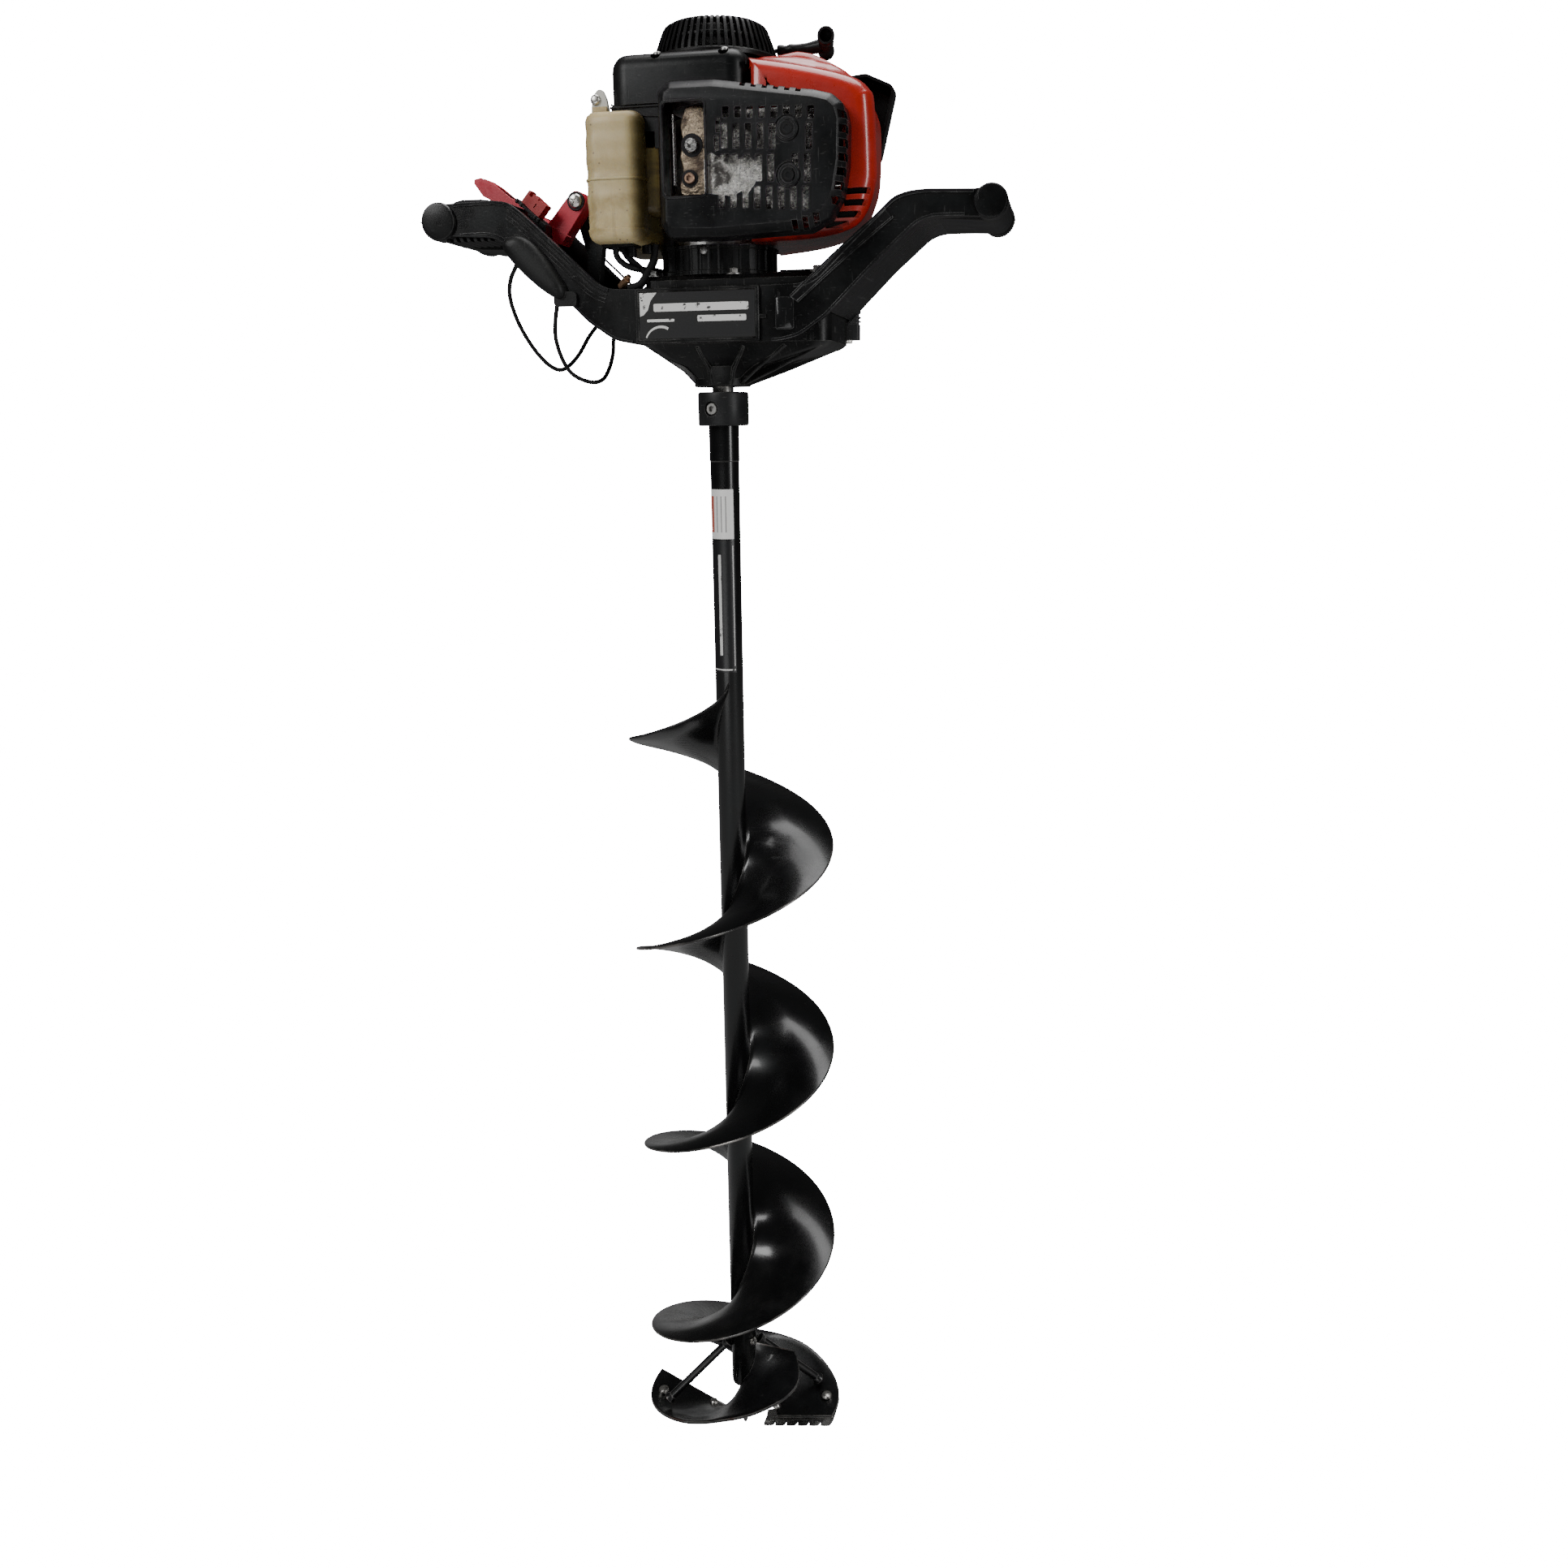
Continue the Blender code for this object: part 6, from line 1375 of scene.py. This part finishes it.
def muffler(silver, tan, bright, rusty, dark):
    """Crumpled heat-stained can, its flange plate and the two bolts seen in the window."""
    low, high = Vector((14.5, 1204.0)), Vector((101.5, 1283.0))
    cols, rows = 58, 50
    loops = []
    for j in range(rows + 1):
        z = low.y + (high.y - low.y) * j / rows
        line = []
        for i in range(cols + 1):
            x = low.x + (high.x - low.x) * i / cols
            edge = min(i, cols - i, j, rows - j)
            fold = noise.noise(Vector((x * 0.11, z * 0.16, 3.1))) + 0.6 * noise.noise(Vector((x * 0.27,
                z * 0.33, 8.2)))
            fold += 0.25 * noise.noise(Vector((x * 0.7, z * 0.8, 1.2)))
            bulge = 1.0 - abs(2 * i / cols - 1) ** 4
            y = -93.6 - 3.0 * bulge - 1.5 * fold
            if edge < 3:
                y += (3 - edge) ** 2 * 0.9
            line.append((x, max(y, -98.9), z))
        loops.append(line + [(high.x, -71.4, z), (low.x, -71.4, z)])
    can = Piece().skin(loops)
    can.rod((66, -72, CYL_Z), (66, -47.2, CYL_Z), 10, 28)
    can.done("muffler_can", silver, "powerhead", ("muffler",), smooth=28)

    plate = [(-7.5, 1220.5), (13.6, 1220.5), (13.6, 1286), (6.0, 1287.2), (-2.5, 1286.0), (-5.0, 1279.5),
             (-7.0, 1272.0),
             (-5.5, 1262.0), (-7.8, 1250.0), (-5.2, 1238.0), (-8.5, 1229.0)]
    flange = Piece()
    flange.stack("xz", [(rounded(plate, 3, 3), -88.0), (rounded(plate, 3, 3), -92.2),
                        (rounded(inset(plate, 1.2), 3, 3), -93.2)])
    flange.lathe([(8.6, -93.0), (8.2, -94.2), (6.9, -94.4), (6.6, -93.4), (3, -93.3)], "y",
                 (2.6, 0, 1257.6), 36)
    flange.done("muffler_flange", tan, "powerhead", bevel=0.5)
    strip = Piece().box((-13.4, -93.5, 1229), (-12.3, -86.5, 1281))
    strip.box((13.4, -99.2, 1220.0), (14.0, -93.0, 1246.0))
    strip.done("muffler_edge_plate", bright, "powerhead", bevel=0.2)
    washers = Piece().ring([(5.6, -95.2), (8.6, -95.0), (8.6, -93.4), (5.6, -93.4)], "y",
                           (2.6, 0, 1257.6), 36)
    washers.ring([(4.4, -94.4), (6.6, -94.2), (6.6, -93.0), (4.4, -93.0)], "y", (0.2, 0, 1233.4), 36)
    washers.done("muffler_bolt_washers", dark, "powerhead")
    Piece().screw((2.6, -93.6, 1257.6), (0, -1, 0), 5.3, 4.6, "socket").done("muffler_bolt", bright,
        "powerhead")
    Piece().screw((0.2, -93.2, 1233.4), (0, -1, 0), 4.3, 3.2, "socket").done("muffler_bolt_low", rusty,
        "powerhead")


def tank(material, cap_plastic, bolt_metal, white):
    """The fuel tank and its cap."""
    outer = round_box(-93, -85, -43, 55, 13, 8)
    layers = [(inset(outer, 9), 1190.0), (inset(outer, 5.2), 1190.8), (inset(outer, 2.4), 1193.0),
              (inset(outer, 0.8), 1196.0),
              (outer, 1200.5)]
    count = 26
    for k in range(count + 1):
        z = 1200.5 + 78.5 * k / count
        wave = 0.55 * math.sin((z - 1200) * 0.19) + 0.4 * math.sin((z - 1200) * 0.43 + 1.0)
        layers.append((inset(outer, 0.7 + wave * 0.6), z))
    layers += [(inset(outer, 0.8), 1283.0), (inset(outer, 2.4), 1286.6), (inset(outer, 5.2), 1288.8),
               (inset(outer, 9), 1289.5)]
    body = Piece().skin([level(shape, z) for shape, z in layers])
    body.stack("yz", [(rounded([(-66, 1213), (-38, 1213), (-38, 1281), (-66, 1281)], 6), -47),
                      (rounded([(-66, 1213), (-38, 1213), (-38, 1281), (-66, 1281)], 6), -36),
                      (rounded([(-64.5, 1214.5), (-39.5, 1214.5), (-39.5, 1279.5), (-64.5, 1279.5)], 6),
                       -33.6)])
    body.lathe([(12.2, -101), (12.2, -97), (12.8, -96.4), (12.8, -92)], "x", (0, 26, 1260), 40)
    seam = inset(outer, -0.25)
    body.skin([level(outer, 1237.4), level(seam, 1237.9), level(seam, 1238.7), level(outer, 1239.2)])
    body.box((-88.5, -64.0, 1288.0), (-76.5, -57.0, 1296.0))
    body.done("tank_body", material, "powerhead", ("fuel_tank",), smooth=50)
    lug = Piece()
    outline = [(-90.5, 1288.5), (-90.0, 1297.0), (-87.5, 1306.0), (-84.0, 1309.5), (-80.0, 1309.0),
               (-77.0, 1302.0),
               (-75.0, 1290.0), (-75.0, 1288.5)]
    lug.prism(rounded(outline, 3), "xz", -62.5, -57.5)
    lug.done("tank_lug", white, "powerhead", bevel=0.8)
    Piece().screw((-86.0, -62.6, 1301.5), (0, -1, 0), 4.2, 2.6, "plain").done("tank_lug_screw",
        bolt_metal, "powerhead")
    fit = Piece()
    fit.rod((-75, -60, 1190.6), (-75, -60, 1186.8), 5.2, 20)
    fit.rod((-62, -56, 1190.6), (-62, -56, 1181.0), 4.0, 20)
    fit.rod((-50, -50, 1190.6), (-50, -50, 1184.0), 4.6, 20)
    fit.box((-84, -70, 1188.0), (-56, -50, 1190.4))
    fit.done("tank_fittings", cap_plastic, "powerhead", bevel=0.5)

    cap = Piece()
    loops = []
    for height, reach, flute in ((-91.5, 9.0, 0), (-101.4, 9.0, 0), (-101.4, 12.4, 0), (-96, 12.4, 0),
                                 (-96, 16.2, 1),
                                 (-97, 16.5, 1), (-109.4, 16.5, 1), (-110.6, 15.6, 1), (-111, 14.0, 0),
                                 (-111, 11.0, 0),
                                 (-110.2, 10.6, 0), (-110.2, 2.0, 0)):
        ring = []
        for i in range(120):
            angle = TAU * i / 120
            r = reach - (0.8 if flute and i % 5 < 2 else 0.0)
            ring.append((height, 26 + r * math.cos(angle), 1260 + r * math.sin(angle)))
        loops.append(ring)
    cap.skin(loops)
    cap.done("tank_cap", cap_plastic, "cap", ("fuel_cap",), smooth=30)


def filter_box(plastic, bolt_metal):
    """The air filter's box."""
    outline = [(38, 1336), (114, 1343), (140, 1331.5), (127, 1275), (112, 1250), (40, 1245), (34, 1252),
               (34, 1332)]

    def loop(y, depth):
        return [(x, y, z) for x, z in rounded(inset(outline, depth), 8.0 - 0.7 * depth, 5)]

    box = Piece().skin([loop(111.6, 7.0), loop(107.5, 2.4), loop(89.0, 2.4), loop(89.0, 0), loop(107.0, 0),
                        loop(109.6, 0.9), loop(112.4, 3.4), loop(114.0, 7.0)])
    for k in range(6):
        box.strip([(58 + k * 9, 1262), (58 + k * 9, 1322)], 1.0, 113.4, 115.0)
    box.done("filter_box_shell", plastic, "powerhead", ("air_filter_cover",), smooth=40)
    knob = Piece().lathe([(9.5, 113.4), (9.5, 117.0), (8.0, 118.6), (3.0, 118.8)], "y", (82, 0, 1292), 36)
    knob.done("filter_box_knob", bolt_metal, "powerhead")


def engine_core(cast, steel_mat, rubber, black, brass):
    paint(cast, "lower_crankcase", "upper_crankcase", "cylinder", "intake_manifold", bevel=0.5)
    paint(steel_mat, "upper_crankshaft", "lower_crankshaft", "flywheel", "clutch_drum", "layshaft",
          "output_shaft",
          "lower_bearing", "upper_bearing", "clutch_shoe_a", "clutch_shoe_b", "connecting_rod", "piston",
          "spark_plug",
          "throttle_arm", "centre_point", bevel=0.2)
    paint(rubber, "plug_boot", "ignition_coil", bevel=0.6)
    paint(black, "choke_lever", bevel=0.4)
    body = Piece().prism(round_box(54.5, 60.5, 88, 88, 3), "xy", 1235, 1270)
    hole = Piece().rod((70, 50, CYL_Z), (70, 100, CYL_Z), 8, 32, 0.0)
    body.cut(hole)
    body.cut(Piece().rod((70, 74, 1252), (70, 74, 1280), 2.3, 20, 0.0))
    body.cut(Piece().rod((70, 83, 1252), (70, 83, 1230), 2.3, 20, 0.0))
    body.lathe([(9, 1228.6), (9, 1234), (10.5, 1235.2)], "z", (61, 66, 0), 28)
    body.rod((88, 68, 1246), (95, 68, 1246), 3.4, 20)
    body.rod((88, 79, 1258), (93, 79, 1258), 2.6, 20)
    body.done("carburetor_casting", cast, "powerhead", ("carburetor",), bevel=0.6)
    screws = Piece()
    for x, y in ((84.5, 64.5), (84.5, 84.5), (58.5, 84.5)):
        screws.screw((x, y, 1269.8), (0, 0, 1), 2.4, 2.0, "socket")
    screws.done("carburetor_screws", brass, "powerhead")


def small_fittings(rubber, brown, black):
    clip = Piece().rod((-76, -46, 1158.6), (-68, -52, 1164.5), 3.2, 18)
    clip.rod((-72, -49, 1161.5), (-66, -53.5, 1166.5), 2.2, 18)
    clip.done("arm_connector", brown, "powerhead")
    lead = smooth_line([(-68, -52, 1157), (-58, -50, 1160), (-51, -49, 1170), (-45, -50, 1180),
                        (-42.5, -51, 1191)], 6)
    Piece().tube(lead, 2.8, 14).done("arm_connector_lead", rubber, "powerhead", smooth=60)
    pipe = smooth_line([(-72, -54, 1191), (-67, -53, 1182), (-59, -50, 1174), (-51, -46, 1167)], 6)
    Piece().tube(pipe, 2.8, 14).done("tank_pipe", black, "powerhead", smooth=60)


# ---------------------------------------------------------------- assembly

def build():
    enamel_black = enamel()
    cutter = cutter_paint()
    zinc = metal("zinc_bolt", (0.56, 0.55, 0.52), 0.28)
    ground = metal("ground_steel", (0.66, 0.66, 0.64), 0.22, (1, 1, 8), amount=0.25)
    dull = metal("dull_steel", (0.34, 0.34, 0.33), 0.4)
    arm_black = moulded("arm_plastic", (0.0026, 0.0026, 0.0028), 0.30, (0.10, 0.10, 0.10), grain=0.3,
                        grain_scale=900,
                        wear=0.7, dust=0.10)
    grip_black = moulded("grip_plastic", (0.0045, 0.0045, 0.0047), 0.5, (0.06, 0.06, 0.06), grain=0.5,
                         wear=0.5, dust=0.1)
    pebbled = moulded("pebbled_plastic", (0.0065, 0.0065, 0.0066), 0.45, (0.08, 0.08, 0.08), grain=1.0,
                      grain_scale=520,
                      wear=0.6, dust=0.12)
    casting = moulded("case_casting", (0.0028, 0.0028, 0.003), 0.34, (0.14, 0.14, 0.135), grain=0.55,
                      grain_scale=420,
                      wear=0.7, dust=0.12)
    satin = moulded("shroud_plastic", (0.0030, 0.0030, 0.0032), 0.36, (0.07, 0.07, 0.07), grain=0.3,
                    grain_scale=800,
                    wear=0.5, dust=0.10)
    guard = moulded("guard_plastic", (0.0042, 0.0042, 0.0046), 0.33, (0.11, 0.11, 0.11), grain=0.35,
                    grain_scale=700,
                    wear=0.75, dust=0.15)
    dark = moulded("inner_black", (0.003, 0.003, 0.003), 0.55, (0.03, 0.03, 0.03), wear=0.3)
    clamp = moulded("clamp_casting", (0.028, 0.028, 0.029), 0.45, (0.16, 0.16, 0.16), grain=0.7,
                    grain_scale=400, wear=0.9)
    rubber = moulded("rubber_black", (0.005, 0.005, 0.005), 0.6, (0.04, 0.04, 0.04), wear=0.3)
    red = red_gloss()
    camera()
    cords()
    flighting(enamel_black)
    wings(cutter)
    blades(ground, zinc, cutter)
    shaft(enamel_black, zinc, printed("decal_white", (0.74, 0.74, 0.72), (0.01, 0.01, 0.01), 0.72),
          printed("decal_black", (0.008, 0.008, 0.009), (0.02, 0.02, 0.02), 0.7),
          printed("decal_ink", (0.62, 0.62, 0.60), (0.01, 0.01, 0.01), 0.6))
    collar(moulded("collar_black", (0.010, 0.010, 0.0105), 0.42, (0.14, 0.14, 0.14), grain=0.5, wear=0.8),
           dull)
    gearbox(casting, satin, dull)
    front_panel(casting, printed("panel_decal", (0.007, 0.007, 0.0075), (0.015, 0.015, 0.015), 0.68),
                printed("panel_ink", (0.66, 0.66, 0.64), (0.012, 0.012, 0.012), 0.58))
    # the arm rims get a paler black and paler edges than the arm shell: a painted highlight along the rims
    rim_highlight_black = moulded("arm_rims_painted_highlight", (0.008, 0.008, 0.0084), 0.2, (0.16, 0.16, 0.16), grain=0.2,
                        grain_scale=900, wear=0.9)
    arms(arm_black, grip_black, rim_highlight_black)
    throttle_cover(pebbled)
    rear_clamp(clamp, zinc)
    controls(control_red("lever_red", (0.52, 0.012, 0.034)), control_red("switch_red", (0.36, 0.008, 0.008)),
             arm_black, zinc)
    shroud(satin, dull)
    starter(satin, dark, rubber)
    red_cover(red, dark)
    muffler_guard(guard, dark)
    muffler(muffler_metal("muffler_silver", (0.74, 0.73, 0.70), (0.05, 0.045, 0.04), 1.0),
            muffler_metal("flange_tan", (0.36, 0.29, 0.21), (0.09, 0.06, 0.04), 0.5), ground,
            metal("burnt_steel", (0.30, 0.20, 0.14), 0.4, amount=0.6), dark)
    tank(tank_material(), satin, zinc, plain("lug_white", (0.55, 0.55, 0.50), 0.4))
    filter_box(satin, dark)
    engine_core(metal("cast_alloy", (0.42, 0.42, 0.41), 0.42, amount=0.5), dull, rubber, satin,
                metal("brass_screw", (0.50, 0.38, 0.17), 0.3))
    small_fittings(rubber, metal("brown_clip", (0.30, 0.17, 0.09), 0.4), rubber)
    studio()


build()
